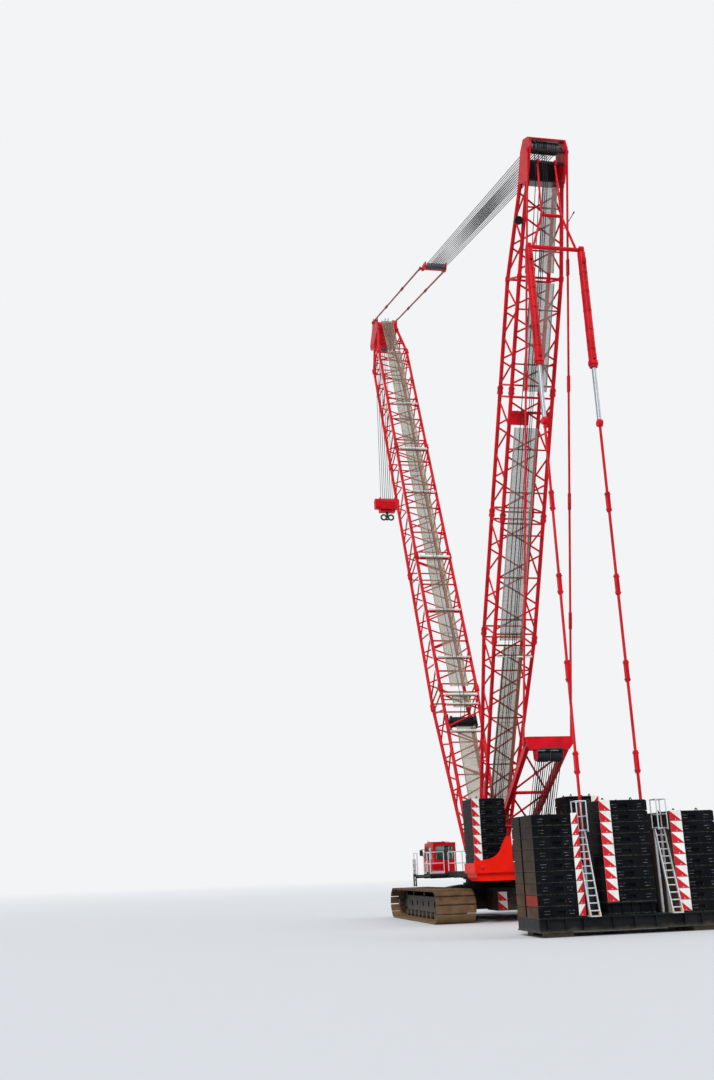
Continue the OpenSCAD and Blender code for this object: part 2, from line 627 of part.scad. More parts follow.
module boom_foot() {
    s = boom_sections[0];
    start = [foot_depth, 2 * boom_foot_half + 30];
    color(crane_red) on_boom() {
        lattice(360, s[2], start, boom_size, s[3], boom_chord, lacing, 1, 190);
        batten(s[2] - 150, boom_size, lacing);
        sleeves(s[2] - 110, boom_size, boom_chord + 44, 110);
        // foot lugs
        for (k = [-1, 1]) translate([0, k * boom_foot_half, 0]) rotate([90, 0, 0]) difference() {
            union() {
                cylinder(r = 96, h = 66, center = true);
                linear_extrude(66, center = true) polygon([[-96, 0], [-250, 420], [250, 420], [96, 0]]);
            }
            cylinder(d = foot_pin + 2 * pin_play, h = 80, center = true);
        }
        bar([0, -boom_foot_half, 400], [0, boom_foot_half, 400], 110);
        sleeves(350, start, boom_chord + 20, 90);
    }
}

module boom_insert(s) {
    color(crane_red) on_boom() {
        lattice(s[1], s[2], boom_size, boom_size, s[3], boom_chord, lacing, 1, 300);
        for (z = [s[1] + 150, s[2] - 150]) batten(z, boom_size, lacing);
        sleeves(s[1], boom_size, boom_chord + 44, 110);
        sleeves(s[2] - 110, boom_size, boom_chord + 44, 110);
    }
}
module boom_insert_lower() boom_insert(boom_sections[1]);
module boom_insert_middle() boom_insert(boom_sections[2]);
module boom_insert_upper() boom_insert(boom_sections[3]);

nose = 900;                      // reach of the boom head's sheaves ahead of the boom's axis
sheave_d = 420;
head_pin = 90;
jib_pin = 84;                    // bores in the head block for a jib's foot
jib_pin_at = [640, 0, -640];     // from the boom's tip in the boom's own directions
pendant_pin = 80;                // boom pendants' pin at the boom's tip
pendant_half = 450;              // spread of the boom pendants

// world place of the boom head's sheave axle
head_sheave = boom_tip + [nose * sin(boom_angle) - 450 * cos(boom_angle), 0, -nose * cos(boom_angle) - 450 * sin(boom_angle)];

head_block = 900;                // length of the boom's head block
head_plate = 40;                 // cheek plates of both head blocks
boom_neck = [900, 770];          // lattice size where it meets the head block

module boom_head() {
    color(crane_red) on_boom() {
        lattice(boom_head_start, boom_length - head_block, boom_size, boom_neck, 3, boom_chord, lacing, 1, 200);
        batten(boom_head_start + 150, boom_size, lacing);
        sleeves(boom_head_start, boom_size, boom_chord + 44, 110);
        sleeves(boom_length - head_block - 90, boom_neck, boom_chord + 30, 90);
    }
}

module boom_head_block() {
    t = head_plate;
    y = boom_neck.y / 2 + t / 2;
    neck = boom_neck.x / 2 + 60;
    color(crane_red) on_boom() {
        // cheeks that carry the sheave axle in front and the pendant pin at the tip
        for (k = [-1, 1]) translate([0, k * y, boom_length]) rotate([90, 0, 0]) linear_extrude(t, center = true)
            difference() {
                polygon([[-neck, -head_block], [neck, -head_block], [nose + 80, -650], [nose + 150, -470], [nose + 60, -300],
                         [330, -60], [110, 110], [-110, 110], [-neck, -420]]);
                translate([nose, -450]) circle(d = head_pin);
                translate([jib_pin_at.x, jib_pin_at.z]) circle(d = jib_pin);
            }
        // end plate that the chords are welded to, and two diaphragms
        translate([-neck, -y, boom_length - head_block]) cube([2 * neck, 2 * y, 30]);
        translate([-420, -y, boom_length - 720]) cube([30, 2 * y, 240]);
        translate([360, -y, boom_length - 800]) cube([30, 2 * y, 160]);
        // hooked guides for the ropes on the rear edge
        for (k = [-1, 1]) translate([-neck, k * y, boom_length - 620]) rotate([90, 0, 0])
            linear_extrude(24, center = true) polygon([[overlap, -160], [-120, -60], [-160, 120], [-120, 110], [-70, -10], [overlap, -20]]);
        along_y([0, 0, boom_length], pendant_pin, 2 * pendant_half + 60);
    }
}

module boom_head_sheaves() {
    color(steel_grey) for (y = [-280:80:280]) sheave(head_sheave + [0, y, 0], sheave_d, hoist_sheave_w, 0);
    color(steel_grey) along_y(head_sheave, head_pin - 0.6, 900);
}

// a grating walkway along a lattice's rear face, on cross bearers that rest on its chords, with an edge rail at
// each side: a and b are [x, z] of the rear chords' axes at its start and end, bearers their lengths there, lift
// holds the walkway clear of the joint sleeves, and joints are the joints' places along it, which no bearer meets;
// rollers lists [place along it, diameter] of the rope rollers, each on two brackets of a bearer of its own
module catwalk(a, b, chord, width, y, bearers, lift = 0, joints = [], step = 590, rollers = []) {
    run = norm(b - a);
    stops = concat([0], joints, [run]);
    translate([a[0], 0, a[1]]) rotate([0, atan2(b[0] - a[0], b[1] - a[1]), 0]) translate([-chord / 2 - seat, 0, 0]) {
        for (k = [0:len(stops) - 2]) {
            n = max(1, round((stops[k + 1] - stops[k]) / step));
            for (i = [0:n - 1]) {
                z = stops[k] + (i + 0.5) * (stops[k + 1] - stops[k]) / n;
                l = bearers[0] + (bearers[1] - bearers[0]) * z / run;
                translate([-15 - lift, -l / 2, z - 30]) cube([15 + lift, l, 60]);
            }
        }
        for (r = rollers) {
            l = bearers[0] + (bearers[1] - bearers[0]) * r[0] / run;
            translate([-15 - lift, -l / 2, r[0] - 30]) cube([15 + lift, l, 60]);
            for (k = [-1, 1]) translate([-80 - lift - r[1] / 2, k * (l / 2 - 70) - 12, r[0] - 28]) cube([80 + r[1] / 2, 24, 56]);
            along_y([-72 - lift - r[1] / 2, 0, r[0]], r[1], l - 120);
        }
        translate([-27 - lift, y - width / 2, 0]) cube([14, width, run]);
        for (k = [-1, 1]) translate([-58 - lift, y + k * width / 2 - 6, 0]) cube([44, 12, run]);
    }
}

module boom_catwalk() {
    back = -boom_depth / 2;
    foot_end = boom_sections[0][2];
    // the foot section's chords spread from its lugs out to the full depth and width
    function spread(z, from, to) = from + (to - from) * (z - 360) / (foot_end - 360);
    function foot_x(z) = -spread(z, foot_depth, boom_depth) / 2;
    function foot_w(z) = spread(z, 2 * boom_foot_half + 30, boom_width);
    // the foot run leaves a gap below its last part, through which the ropes dip to the winches
    color(grating_tan) on_boom() {
        catwalk([foot_x(900), 900], [foot_x(foot_end - 1330), foot_end - 1330], boom_chord, 560, 0,
            [foot_w(900), foot_w(foot_end - 1330)], rollers = [[2900, 60]]);
        catwalk([foot_x(foot_end - 700), foot_end - 700], [foot_x(foot_end - 160), foot_end - 160], boom_chord, 560, 0,
            [foot_w(foot_end - 700), foot_w(foot_end - 160)], rollers = [[90, 50], [400, 80]]);
        catwalk([back, foot_end + 4], [back, boom_head_start - 120], boom_chord, 560, 0, [boom_width, boom_width], 22,
            [for (i = [2, 3]) boom_sections[i][1] - foot_end - 4],
            rollers = [for (r = boom_rollers) [r[0] - foot_end - 4, r[1]]]);
    }
}

// rope rollers across the boom's rear face: place along the boom and diameter
boom_rollers = [[6350, 40], [8200, 40], [10420, 80], [13450, 40], [15600, 80], [18100, 40]];

module boom_pendants() {
    color(rope_grey) for (s = [-1, 1]) {
        y = s * pendant_half;
        bar([eq_pin.x, y, eq_pin.z] + stay_u * 60, [boom_tip.x, y, boom_tip.z] - stay_u * 60, 40);
        eye([eq_pin.x, y, eq_pin.z], 72, 36, pendant_pin + 2 * pin_play);
        eye([boom_tip.x, y, boom_tip.z], 72, 36, pendant_pin + 2 * pin_play);
    }
}

// --- stays between the mast's head and the boom's head ----------------------------------------

mast_sheave_d = 300;
eq_sheave_d = 200;
stay_sheave_w = 44;
stay_rope = 18;
stay_from = mast_foot + (mast_length - 40) * mast_axis;     // the mast head's sheave axle
stay_v = boom_tip - stay_from;
stay_l = norm(stay_v);
stay_u = stay_v / stay_l;
eq_at = 10500;                   // the equaliser's sheave axle along the stay
eq_len = 380;                    // from its sheave axle to its pendant pin
eq_axle = stay_from + stay_u * eq_at;
eq_pin = stay_from + stay_u * (eq_at + eq_len);
stay_parts = [for (y = [-270:60:270]) y];

module stay_ropes() {
    color(rope_grey) for (y = stay_parts)
        bar(stay_from + [0, y, 0] + stay_u * in_groove(mast_sheave_d, stay_sheave_w, stay_rope),
            eq_axle + [0, y, 0] - stay_u * in_groove(eq_sheave_d, stay_sheave_w, stay_rope), stay_rope);
}

module equaliser() {
    tilt = 90 - atan2(stay_u.z, stay_u.x);
    color(crane_red) translate(eq_axle) rotate([0, tilt, 0]) {
        for (k = [-1, 1]) translate([0, k * 360, 0]) rotate([90, 0, 0]) linear_extrude(30, center = true)
            polygon([[-120, -110], [120, -110], [120, 230], [70, eq_len + 70], [-70, eq_len + 70], [-120, 230]]);
        translate([-80, -360, 150]) cube([160, 720, 90]);
        along_y([0, 0, eq_len], pendant_pin, 2 * pendant_half + 50);
    }
    color(steel_grey) {
        for (y = stay_parts) sheave(eq_axle + [0, y, 0], eq_sheave_d, stay_sheave_w, 0);
        along_y(eq_axle, 60, 800);
    }
}

// --- hoisting ---------------------------------------------------------------------------------

hoist_rope = 16;
hoist_sheave_w = 60;
hook_x = head_sheave.x + sheave_d / 2 - 0.35 * hoist_sheave_w + hoist_rope / 2 + 0.3;

module hoist_ropes() {
    color(rope_grey) for (y = [-200:80:200])
        bar([hook_x, y, hook_height + in_groove(hook_sheave, hoist_sheave_w, hoist_rope)],
            [hook_x, y, head_sheave.z], hoist_rope);
}

hook_shank = 84;

module hook_block() {
    color(crane_red) {
        for (s = [-1, 1]) translate([hook_x, s * 300, hook_height]) rotate([90, 0, 0]) linear_extrude(36, center = true)
            polygon([[-240, 0], [-170, 200], [170, 200], [240, 0], [130, -400], [-130, -400]]);
        difference() {
            block([hook_x - 110, -300, hook_height - 400], [hook_x + 110, 300, hook_height - 300]);
            translate([hook_x, 0, hook_height - 420]) cylinder(d = hook_shank + 2 * pin_play, h = 140);
        }
    }
    // cheek weights at both sides
    color(crane_red) for (s = [-1, 1]) translate([hook_x, s * 407, hook_height]) rotate([90, 0, 0])
        linear_extrude(182, center = true) polygon([[-150, 90], [-110, 150], [110, 150], [150, 90], [150, -190], [100, -260], [-100, -260], [-150, -190]]);
    color(steel_grey) {
        for (y = [-200:80:200]) sheave([hook_x, y, hook_height], hook_sheave, hoist_sheave_w, 0);
        along_y([hook_x, 0, hook_height], 80, 1030);
    }
}

hook_eye = 52;                   // cross bore through the hook's middle

module hook() {
    z = hook_height - 400;
    color(steel_grey) difference() {
        union() {
            translate([hook_x, 0, z - 215]) cylinder(d = hook_shank, h = 365);
            translate([hook_x, 0, z + 100 + seat]) cylinder(d = 130, h = 44);
            translate([hook_x, 0, z - 60]) cylinder(d = 120, h = 50);
            translate([hook_x - 42, 0, z - 255]) rotate([0, 90, 0]) cylinder(d = 150, h = 84);
            // ram's-horn hook: two prongs
            for (s = [-1, 1]) translate([hook_x, s * 150, z - 210]) rotate([90, 0, 90])
                rotate_extrude() translate([105, 0]) circle(d = 70);
        }
        translate([hook_x - 60, 0, z - 255]) rotate([0, 90, 0]) cylinder(d = hook_eye, h = 120);
    }
}

// --- superlift mast ---------------------------------------------------------------------------

mast_start = [240, 2 * mast_foot_half + 120];    // size of the mast's lattice above its foot lugs

module mast_foot() {
    s = mast_sections[0];
    start = mast_start;
    color(crane_red) on_mast() {
        lattice(380, s[2], start, mast_size, s[3], mast_chord, lacing, 1, 190);
        batten(s[2] - 150, mast_size, lacing);
        sleeves(s[2] - 110, mast_size, mast_chord + 40, 110);
        for (k = [-1, 1]) translate([0, k * mast_foot_half, 0]) rotate([90, 0, 0]) difference() {
            union() {
                cylinder(r = 90, h = 64, center = true);
                linear_extrude(64, center = true) polygon([[-90, 0], [-150, 430], [150, 430], [90, 0]]);
            }
            cylinder(d = foot_pin + 2 * pin_play, h = 80, center = true);
        }
        bar([0, -mast_foot_half - 40, 410], [0, mast_foot_half + 40, 410], 110);
        sleeves(370, start, mast_chord + 20, 90);
    }
}

module mast_insert(s) {
    color(crane_red) on_mast() {
        lattice(s[1], s[2], mast_size, mast_size, s[3], mast_chord, lacing, 1, 230);
        for (z = [s[1] + 150, s[2] - 150]) batten(z, mast_size, lacing);
        sleeves(s[1], mast_size, mast_chord + 40, 110);
        sleeves(s[2] - 110, mast_size, mast_chord + 40, 110);
    }
}
module mast_insert_lower() mast_insert(mast_sections[1]);
module mast_insert_upper() mast_insert(mast_sections[2]);

mast_neck = [520, 900];
backstay_at = [-300, 0, -150];   // backstay pins, from the mast's tip in the mast's own directions
backstay_pin = 70;
backstay_eye = 36;               // thickness of the backstays' eyes
backstay_half = mast_neck.y / 2 + head_plate + seat + backstay_eye / 2;
hang_pin = 80;
backstay_top = mast_tip + backstay_at.x * [cos(mast_lean), 0, sin(mast_lean)] + backstay_at.z * mast_axis;
mast_pin = 90;

module mast_head() {
    color(crane_red) on_mast() {
        lattice(mast_head_start, mast_taper_start, mast_size, mast_size, 4, mast_chord, lacing, 1, 150);
        lattice(mast_taper_start, mast_length - head_block, mast_size, mast_neck, 3, mast_chord, lacing, 1, 150);
        batten(mast_head_start + 150, mast_size, lacing);
        batten(mast_taper_start, mast_size, lacing + 10);
        sleeves(mast_head_start, mast_size, mast_chord + 40, 110);
        sleeves(mast_taper_start - 60, mast_size, mast_chord + 24, 120);
        sleeves(mast_length - head_block - 90, mast_neck, mast_chord + 30, 90);
    }
}

module mast_head_block() {
    t = head_plate;
    y = mast_neck.y / 2 + t / 2;
    color(crane_red) {
        on_mast() {
            for (k = [-1, 1]) translate([0, k * y, mast_length]) rotate([90, 0, 0]) linear_extrude(t, center = true)
                difference() {
                    polygon([[-390, -head_block], [320, -head_block], [320, -100], [180, 170], [-180, 170], [-390, -60]]);
                    translate([0, -40]) circle(d = mast_pin);
                }
            translate([-390, -y, mast_length - head_block]) cube([710, 2 * y, 30]);
            translate([250, -y, mast_length - 760]) cube([30, 2 * y, 420]);
            translate([-170, -y - t / 2, mast_length + 136]) cube([340, 2 * y + t, 34]);
            // backstay pins
            along_y([backstay_at.x, 0, mast_length + backstay_at.z], backstay_pin, 2 * backstay_half + 60);
        }
        // pin that the spreader hangs from
        along_y(hang, hang_pin, 2 * y);
    }
}

module mast_head_sheaves() {
    color(steel_grey) on_mast() {
        for (y = [-330:60:330]) sheave([0, y, mast_length - 40], mast_sheave_d, stay_sheave_w, 0);
        along_y([0, 0, mast_length - 40], mast_pin - 0.6, 960);
    }
}

module mast_catwalk() {
    back = -mast_depth / 2;
    foot_end = mast_sections[0][2];
    head_end = mast_length - head_block;
    function spread(z, from, to, z0, z1) = from + (to - from) * (z - z0) / (z1 - z0);
    function foot_x(z) = -spread(z, mast_start.x, mast_depth, 380, foot_end) / 2;
    function foot_w(z) = spread(z, mast_start.y, mast_width, 380, foot_end);
    function head_x(z) = -spread(z, mast_depth, mast_neck.x, mast_taper_start, head_end) / 2;
    function head_w(z) = spread(z, mast_width, mast_neck.y, mast_taper_start, head_end);
    color(grating_tan) on_mast() {
        catwalk([foot_x(700), 700], [foot_x(foot_end - 160), foot_end - 160], mast_chord, 520, 40,
            [foot_w(700), foot_w(foot_end - 160)], rollers = [[foot_end - 1100, 40]]);
        catwalk([back, foot_end + 4], [back, mast_head_start - 4], mast_chord, 600, 130,
            [mast_width, mast_width], 20, [mast_sections[2][1] - foot_end - 4]);
        catwalk([back, mast_head_start + 4], [back, mast_taper_start - 120], mast_chord, 600, -30,
            [mast_width, mast_width], 20);
        catwalk([head_x(mast_taper_start + 120), mast_taper_start + 120], [head_x(16900), 16900], mast_chord, 380, -110,
            [head_w(mast_taper_start + 120), head_w(16900)]);
    }
}

module backstays() {
    foot = frame_head + [0, 0, 40];
    v = (foot - backstay_top) / norm(foot - backstay_top);
    color(crane_red) for (s = [-1, 1]) {
        top = backstay_top + [0, s * backstay_half, 0];
        low = foot + [0, s * (frame_beam_half + seat + backstay_eye / 2), 0];
        eye(top, 66, backstay_eye, backstay_pin + 2 * pin_play);
        bar(top + v * 55, low, backstay_eye - 2);
        along_y(low, 130, backstay_eye);
        for (t = [0.25, 0.5, 0.75]) along_y(top + (low - top) * t, 90, 44);
    }
}

// --- superlift counterweight ------------------------------------------------------------------

hang = [mast_tip.x - 60, 0, mast_tip.z - 500];   // pin from which the spreader hangs
spread_top = 1500;               // spreader's upper bar below the pin
spread_low = 2400;               // spreader's lower bar below the pin
pendant_y = 660;
arm_in = 120;                    // the spreader's arms meet its lower bar this far inside the cylinders' eyes
cyl_len = 3000;
rod_out = 1400;

module spreader() {
    color(crane_red) {
        for (s = [-1, 1]) {
            eye(hang + [0, s * 230, 0], 75, 50, hang_pin + 2 * pin_play);
            bar(hang + [0, s * 230, -65], hang + [0, s * 250, -spread_top], 50);
            bar(hang + [0, s * 250, -spread_top], hang + [0, s * (pendant_y - arm_in), -spread_low], 60);
        }
        bar(hang + [0, -280, -spread_top], hang + [0, 280, -spread_top], 80);
        bar(hang + [0, -pendant_y - 60, -spread_low], hang + [0, pendant_y + 60, -spread_low], 100);
    }
}

spread_bar = 100;                // diameter of the spreader's lower bar

module superlift_cylinders() {
    z1 = hang.z - spread_low - 90;
    color(crane_red) for (s = [-1, 1]) {
        eye([hang.x, s * pendant_y, hang.z - spread_low], 95, 90, spread_bar + 2 * pin_play);
        translate([hang.x, s * pendant_y, z1 - cyl_len]) difference() {
            cylinder(d = 190, h = cyl_len + 20);
            translate([0, 0, -1]) cylinder(d = rod_d + 2 * pin_play, h = 140);
            translate([0, 0, 120]) cylinder(d = rod_d + 2 * clearance, h = cyl_len - 320);
        }
        // gland collar and the two oil ports on the rear side
        translate([hang.x, s * pendant_y, z1 - cyl_len + 60]) difference() {
            cylinder(d = 230, h = 90);
            translate([0, 0, -1]) cylinder(d = 150, h = 92);
        }
        for (z = [z1 - cyl_len + 230, z1 - 260])
            block([hang.x - 150, s * pendant_y - 40, z - 60], [hang.x - 80, s * pendant_y + 40, z + 60]);
    }
}

rod_d = 98;
lug_z = 1400;                    // pin height of the tray's lifting lugs

module superlift_rods() {
    z1 = hang.z - spread_low - 90 - cyl_len;
    z_eye = z1 - rod_out;
    // flat links of equal length hang one below the other, joined by short double plates
    n = 5;
    link = (z_eye - lug_z) / n;
    for (s = [-1, 1]) translate([hang.x, s * pendant_y, 0]) {
        color(chrome_rod) translate([0, 0, z_eye]) cylinder(d = rod_d, h = rod_out + 1500);
        color(crane_red) {
            along_y([0, 0, z_eye], 170, 110);
            block([-32, -20, lug_z], [32, 20, z_eye]);
            for (i = [1:n - 1]) {
                z = z_eye - i * link;
                for (k = [-1, 1]) block([-48, k * 29 - 9, z - 230], [48, k * 29 + 9, z + 230]);
                for (k = [-1, 1]) along_y([0, 0, z + k * 180], 62, 104);
            }
            along_y([0, 0, lug_z], 150, 2 * lug_gap - 2 * seat);
        }
    }
}

lug_gap = 60;                    // half the gap between the plates of a tray lug

tray_y = [510, 965, tray_width / 2];            // middle stack's side, outer stacks' inner and outer side
tray_xr = [tray_x - tray_depth / 2, tray_x + tray_depth / 2];
tray_split = 80;                 // gap between the two columns of an outer stack
tray_plinth = 240;               // height of the plinth below the middle stack

module tray_frame() {
    color(chassis_dark) {
        block([tray_xr[0], -tray_width / 2, 90], [tray_xr[1], tray_width / 2, tray_base]);
        // upper and lower flanges with ribs between them at the front and the rear
        for (z = [90, tray_base - 24])
            block([tray_xr[0] - 60, -tray_width / 2, z], [tray_xr[1] + 60, tray_width / 2, z + 24]);
        for (y = [-1760, -1400, -1040, -440, 0, 440, 1040, 1400, 1760]) for (x = [0, 1])
            block([tray_xr[x] - (x == 0 ? 54 : 0), y - 12, 90], [tray_xr[x] + (x == 0 ? 0 : 54), y + 12, tray_base]);
        for (x = [-1, 1], y = [-1, 1])
            block([tray_x + x * 420 - 160, y * 1500 - 260, 0], [tray_x + x * 420 + 160, y * 1500 + 260, 96]);
        // lifting lugs in the two gaps
        for (s = [-1, 1], k = [-1, 1])
            translate([hang.x, s * pendant_y + k * (lug_gap + 15), tray_base - 10]) rotate([90, 0, 0]) difference() {
                linear_extrude(30, center = true) polygon([[-180, 0], [180, 0], [130, 300], [80, 1150], [-80, 1150], [-130, 300]]);
                translate([0, lug_z - tray_base + 10, 0]) cylinder(d = 66, h = 60, center = true);
            }
    }
}

// an outer stack stands in two columns, one behind the other
module tray_stack(side) {
    y = side > 0 ? [tray_y[1], tray_y[2]] : [-tray_y[2], -tray_y[1]];
    middle = tray_x + 80;
    color(ballast_black) {
        slabs([tray_xr[0], middle - tray_split / 2], y, tray_base, tray_slabs, slab_thickness);
        slabs([middle + tray_split / 2, tray_xr[1]], y, tray_base, tray_slabs, slab_thickness);
    }
}
module tray_stack_left() tray_stack(1);
module tray_stack_right() tray_stack(-1);
module tray_stack_middle() {
    color(ballast_black) {
        block([tray_xr[0] + 50, -tray_y[0] + 20, tray_base], [tray_xr[1] - 50, tray_y[0] - 20, tray_base + tray_plinth]);
        block([tray_xr[0], -tray_y[0], tray_base + tray_plinth - 30], [tray_xr[1], tray_y[0], tray_base + tray_plinth]);
        for (y = [-400:200:400]) block([tray_xr[0] + 6, y - 10, tray_base], [tray_xr[0] + 60, y + 10, tray_base + tray_plinth - 25]);
        slabs(tray_xr, [-tray_y[0], tray_y[0]], tray_base + tray_plinth, tray_slabs, slab_thickness);
    }
}

module tray_ladders() {
    // each ladder leans from a step outside the base frame into the gap between the stacks
    foot = [tray_xr[0] - 150, tray_base + 40];
    top = [tray_xr[0] + 250, tray_base + tray_slabs * slab_thickness - 320];
    run = norm(top - foot);
    clear_y = pendant_y + lug_gap + 2 * clearance;      // the pendants swing inside this
    y_mid = (clear_y + tray_y[1] - clearance) / 2;
    guard = (tray_y[1] - clearance - clear_y) / 2 - 13;
    half = guard - 2;
    function at(t, y) = [foot[0] + t * (top[0] - foot[0]), y, foot[1] + t * (top[1] - foot[1])];
    color(rail_grey) for (s = [-1, 1]) {
        y = s * y_mid;
        for (k = [-1, 1]) strut(at(0, y + k * half), at(1, y + k * half), 22, 44);
        for (d = [70:140:run - 60]) bar(at(d / run, y - half), at(d / run, y + half), 26, 12);
        // bottom step on the base frame's flange
        block([foot[0] - 50, y - guard, tray_base], [tray_xr[0] + 20, y + guard, tray_base + 20]);
        for (k = [-1, 1]) block([foot[0] - 30, y + k * half - 12, tray_base], [foot[0] + 40, y + k * half + 12, foot[1] + 40]);
        // landing at the top on two posts, with a guard of tubes round it
        block([top[0] - 30, y - guard, top[1] - 10], [top[0] + 110, y + guard, top[1] + 20]);
        for (k = [-1, 1]) block([top[0] + 60, y + k * (guard - 30) - 20, tray_base], [top[0] + 100, y + k * (guard - 30) + 20, top[1]]);
        for (x = [tray_xr[0] + 60, top[0] + 80], k = [-1, 1]) bar([x, y + k * guard, x > top[0] ? top[1] - 8 : top[1] - 30], [x, y + k * guard, top[1] + 560], 26, 12);
        for (z = [top[1], top[1] + 270, top[1] + 560]) {
            for (k = [-1, 1]) bar([tray_xr[0] + 60, y + k * guard, z], [top[0] + 80, y + k * guard, z], 26, 12);
            if (z > top[1]) bar([top[0] + 80, y - guard, z], [top[0] + 80, y + guard, z], 26, 12);
        }
        bar([tray_xr[0] + 60, y - guard, top[1] + 560], [tray_xr[0] + 60, y + guard, top[1] + 560], 26, 12);
    }
}

// --- the whole crane --------------------------------------------------------------------------

car_body();
track_frame(1);  // track_frame_left
track_frame(-1);  // track_frame_right
track(1);  // track_left
track(-1);  // track_right
slewing_platform();
power_pack();
cab_shell();
cab_door();
cab_platform();
counterweight_carrier();
deck_stack(1);  // deck_stack_left
deck_stack(-1);  // deck_stack_right
hoist_drum();
boom_hoist_drum();
a_frame();
boom_foot();
boom_insert_lower();
boom_insert_middle();
boom_insert_upper();
boom_head();
boom_head_block();
boom_catwalk();
boom_head_sheaves();
hoist_ropes();
hook_block();
hook();
mast_foot();
mast_insert_lower();
mast_insert_upper();
mast_head();
mast_head_block();
mast_catwalk();
mast_head_sheaves();
backstays();
stay_ropes();
equaliser();
boom_pendants();
spreader();
superlift_cylinders();
superlift_rods();
tray_frame();
tray_stack_left();
tray_stack_middle();
tray_stack_right();
tray_ladders();
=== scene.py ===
"""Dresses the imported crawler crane: paint, gratings, wire ropes, hazard boards, rails and fittings.

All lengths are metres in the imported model's own frame: X forward, Y left, Z up, with the
origin on the ground under the slewing axis. The model is half the real machine's size.
"""

from __future__ import annotations

import json
import logging
import math
from dataclasses import dataclass, field, replace
from enum import Enum
from typing import Any, Callable, Sequence

import bpy
from mathutils import Matrix, Vector

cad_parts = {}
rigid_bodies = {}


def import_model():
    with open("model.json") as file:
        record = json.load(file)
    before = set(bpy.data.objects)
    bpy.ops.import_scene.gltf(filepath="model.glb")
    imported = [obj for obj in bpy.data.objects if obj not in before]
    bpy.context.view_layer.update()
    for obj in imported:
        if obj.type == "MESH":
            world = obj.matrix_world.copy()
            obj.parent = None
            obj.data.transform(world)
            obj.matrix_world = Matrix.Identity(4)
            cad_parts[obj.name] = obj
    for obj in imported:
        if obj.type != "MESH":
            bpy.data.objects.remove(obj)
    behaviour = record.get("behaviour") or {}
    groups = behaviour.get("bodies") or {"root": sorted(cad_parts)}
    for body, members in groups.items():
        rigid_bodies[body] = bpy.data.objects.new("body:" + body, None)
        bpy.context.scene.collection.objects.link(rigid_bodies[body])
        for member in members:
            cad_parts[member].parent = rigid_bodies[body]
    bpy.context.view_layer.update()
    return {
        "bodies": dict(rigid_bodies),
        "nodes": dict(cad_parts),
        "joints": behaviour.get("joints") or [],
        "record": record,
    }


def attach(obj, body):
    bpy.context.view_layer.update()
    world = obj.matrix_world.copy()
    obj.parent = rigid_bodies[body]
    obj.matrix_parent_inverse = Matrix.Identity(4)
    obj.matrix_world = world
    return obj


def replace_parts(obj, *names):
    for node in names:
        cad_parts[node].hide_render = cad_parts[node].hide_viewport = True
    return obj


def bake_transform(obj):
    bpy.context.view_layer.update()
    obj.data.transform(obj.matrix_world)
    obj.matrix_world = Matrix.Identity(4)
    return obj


LOG = logging.getLogger("crane")
MM = 0.001
Point = Sequence[float]
Pair = tuple[float, float]
Triple = tuple[float, float, float]
Colour = tuple[float, float, float, float]
Tree = bpy.types.NodeTree
Socket = bpy.types.NodeSocket
Material = bpy.types.Material
Piece = bpy.types.Object
Place = Callable[[float, float, float], Vector]
ACROSS = (0, 1, 0)
UPRIGHT = (0, 0, 1)
SLAB_PITCH = 0.213
# Sockets of a mix node: the share, the colour under and over, the mixed colour, and both plain values.
SHARE, UNDER, OVER, MIXED, VALUE_A, VALUE_B = 0, 6, 7, 2, 2, 3


class Side(Enum):
    """A side of the crane; its value is the sign of the places on that side."""

    RIGHT = -1
    LEFT = 1

    @property
    def label(self) -> str:
        """Name of the side in the names of the pieces."""
        return self.name.lower()


# Small helpers


def linear(hex_colour: str) -> Colour:
    """Turns an sRGB hex colour into a linear RGBA value.

    Args:
        hex_colour: Six hex digits with a leading hash.

    Returns:
        The linear colour, with full alpha.
    """
    parts = [int(hex_colour[i : i + 2], 16) / 255 for i in (1, 3, 5)]
    red, green, blue = (c / 12.92 if c <= 0.04045 else ((c + 0.055) / 1.055) ** 2.4 for c in parts)
    return (red, green, blue, 1.0)


def add_node(tree: Tree, kind: str, inputs: dict[str | int, Any] | None = None,
             **settings: Any) -> bpy.types.Node:
    """Adds a shader node with its inputs and its settings.

    Args:
        tree: Node tree that gets the node.
        kind: Node type without its "ShaderNode" prefix.
        inputs: Value, source socket or source node of each input; a node gives its first output.
        settings: Attribute values of the node.

    Returns:
        The new node.
    """
    new = tree.nodes.new("ShaderNode" + kind)
    for name, value in settings.items():
        setattr(new, name, value)
    for key, value in (inputs or {}).items():
        if isinstance(value, bpy.types.Node):
            value = value.outputs[0]
        if isinstance(value, Socket):
            tree.links.new(value, new.inputs[key])
        else:
            new.inputs[key].default_value = value
    return new


def direction(frame: Place, x: float, y: float, z: float) -> Vector:
    """Turns a direction of a lattice or a walkway into the model's frame."""
    return frame(x, y, z) - frame(0, 0, 0)


def spread(z: float, low: float, high: float, start: float, end: float) -> float:
    """Interpolates a lattice size between the heights start and end."""
    return low + (high - low) * (z - start) / (end - start)


def arc(centre: Point, wide: Point, tall: Point, steps: int = 8, first: float = 0.0,
        last: float = 180.0) -> list[Vector]:
    """Gives points along an arc.

    Args:
        centre: Centre of the arc.
        wide: Vector from the centre to the point at 0 degrees.
        tall: Vector from the centre to the point at 90 degrees.
        steps: Number of equal steps.
        first: Angle of the first point in degrees.
        last: Angle of the last point in degrees.

    Returns:
        The points, one more than the steps.
    """
    angles = [math.radians(first + (last - first) * k / steps) for k in range(steps + 1)]
    return [Vector(centre) + Vector(wide) * math.cos(a) + Vector(tall) * math.sin(a) for a in angles]


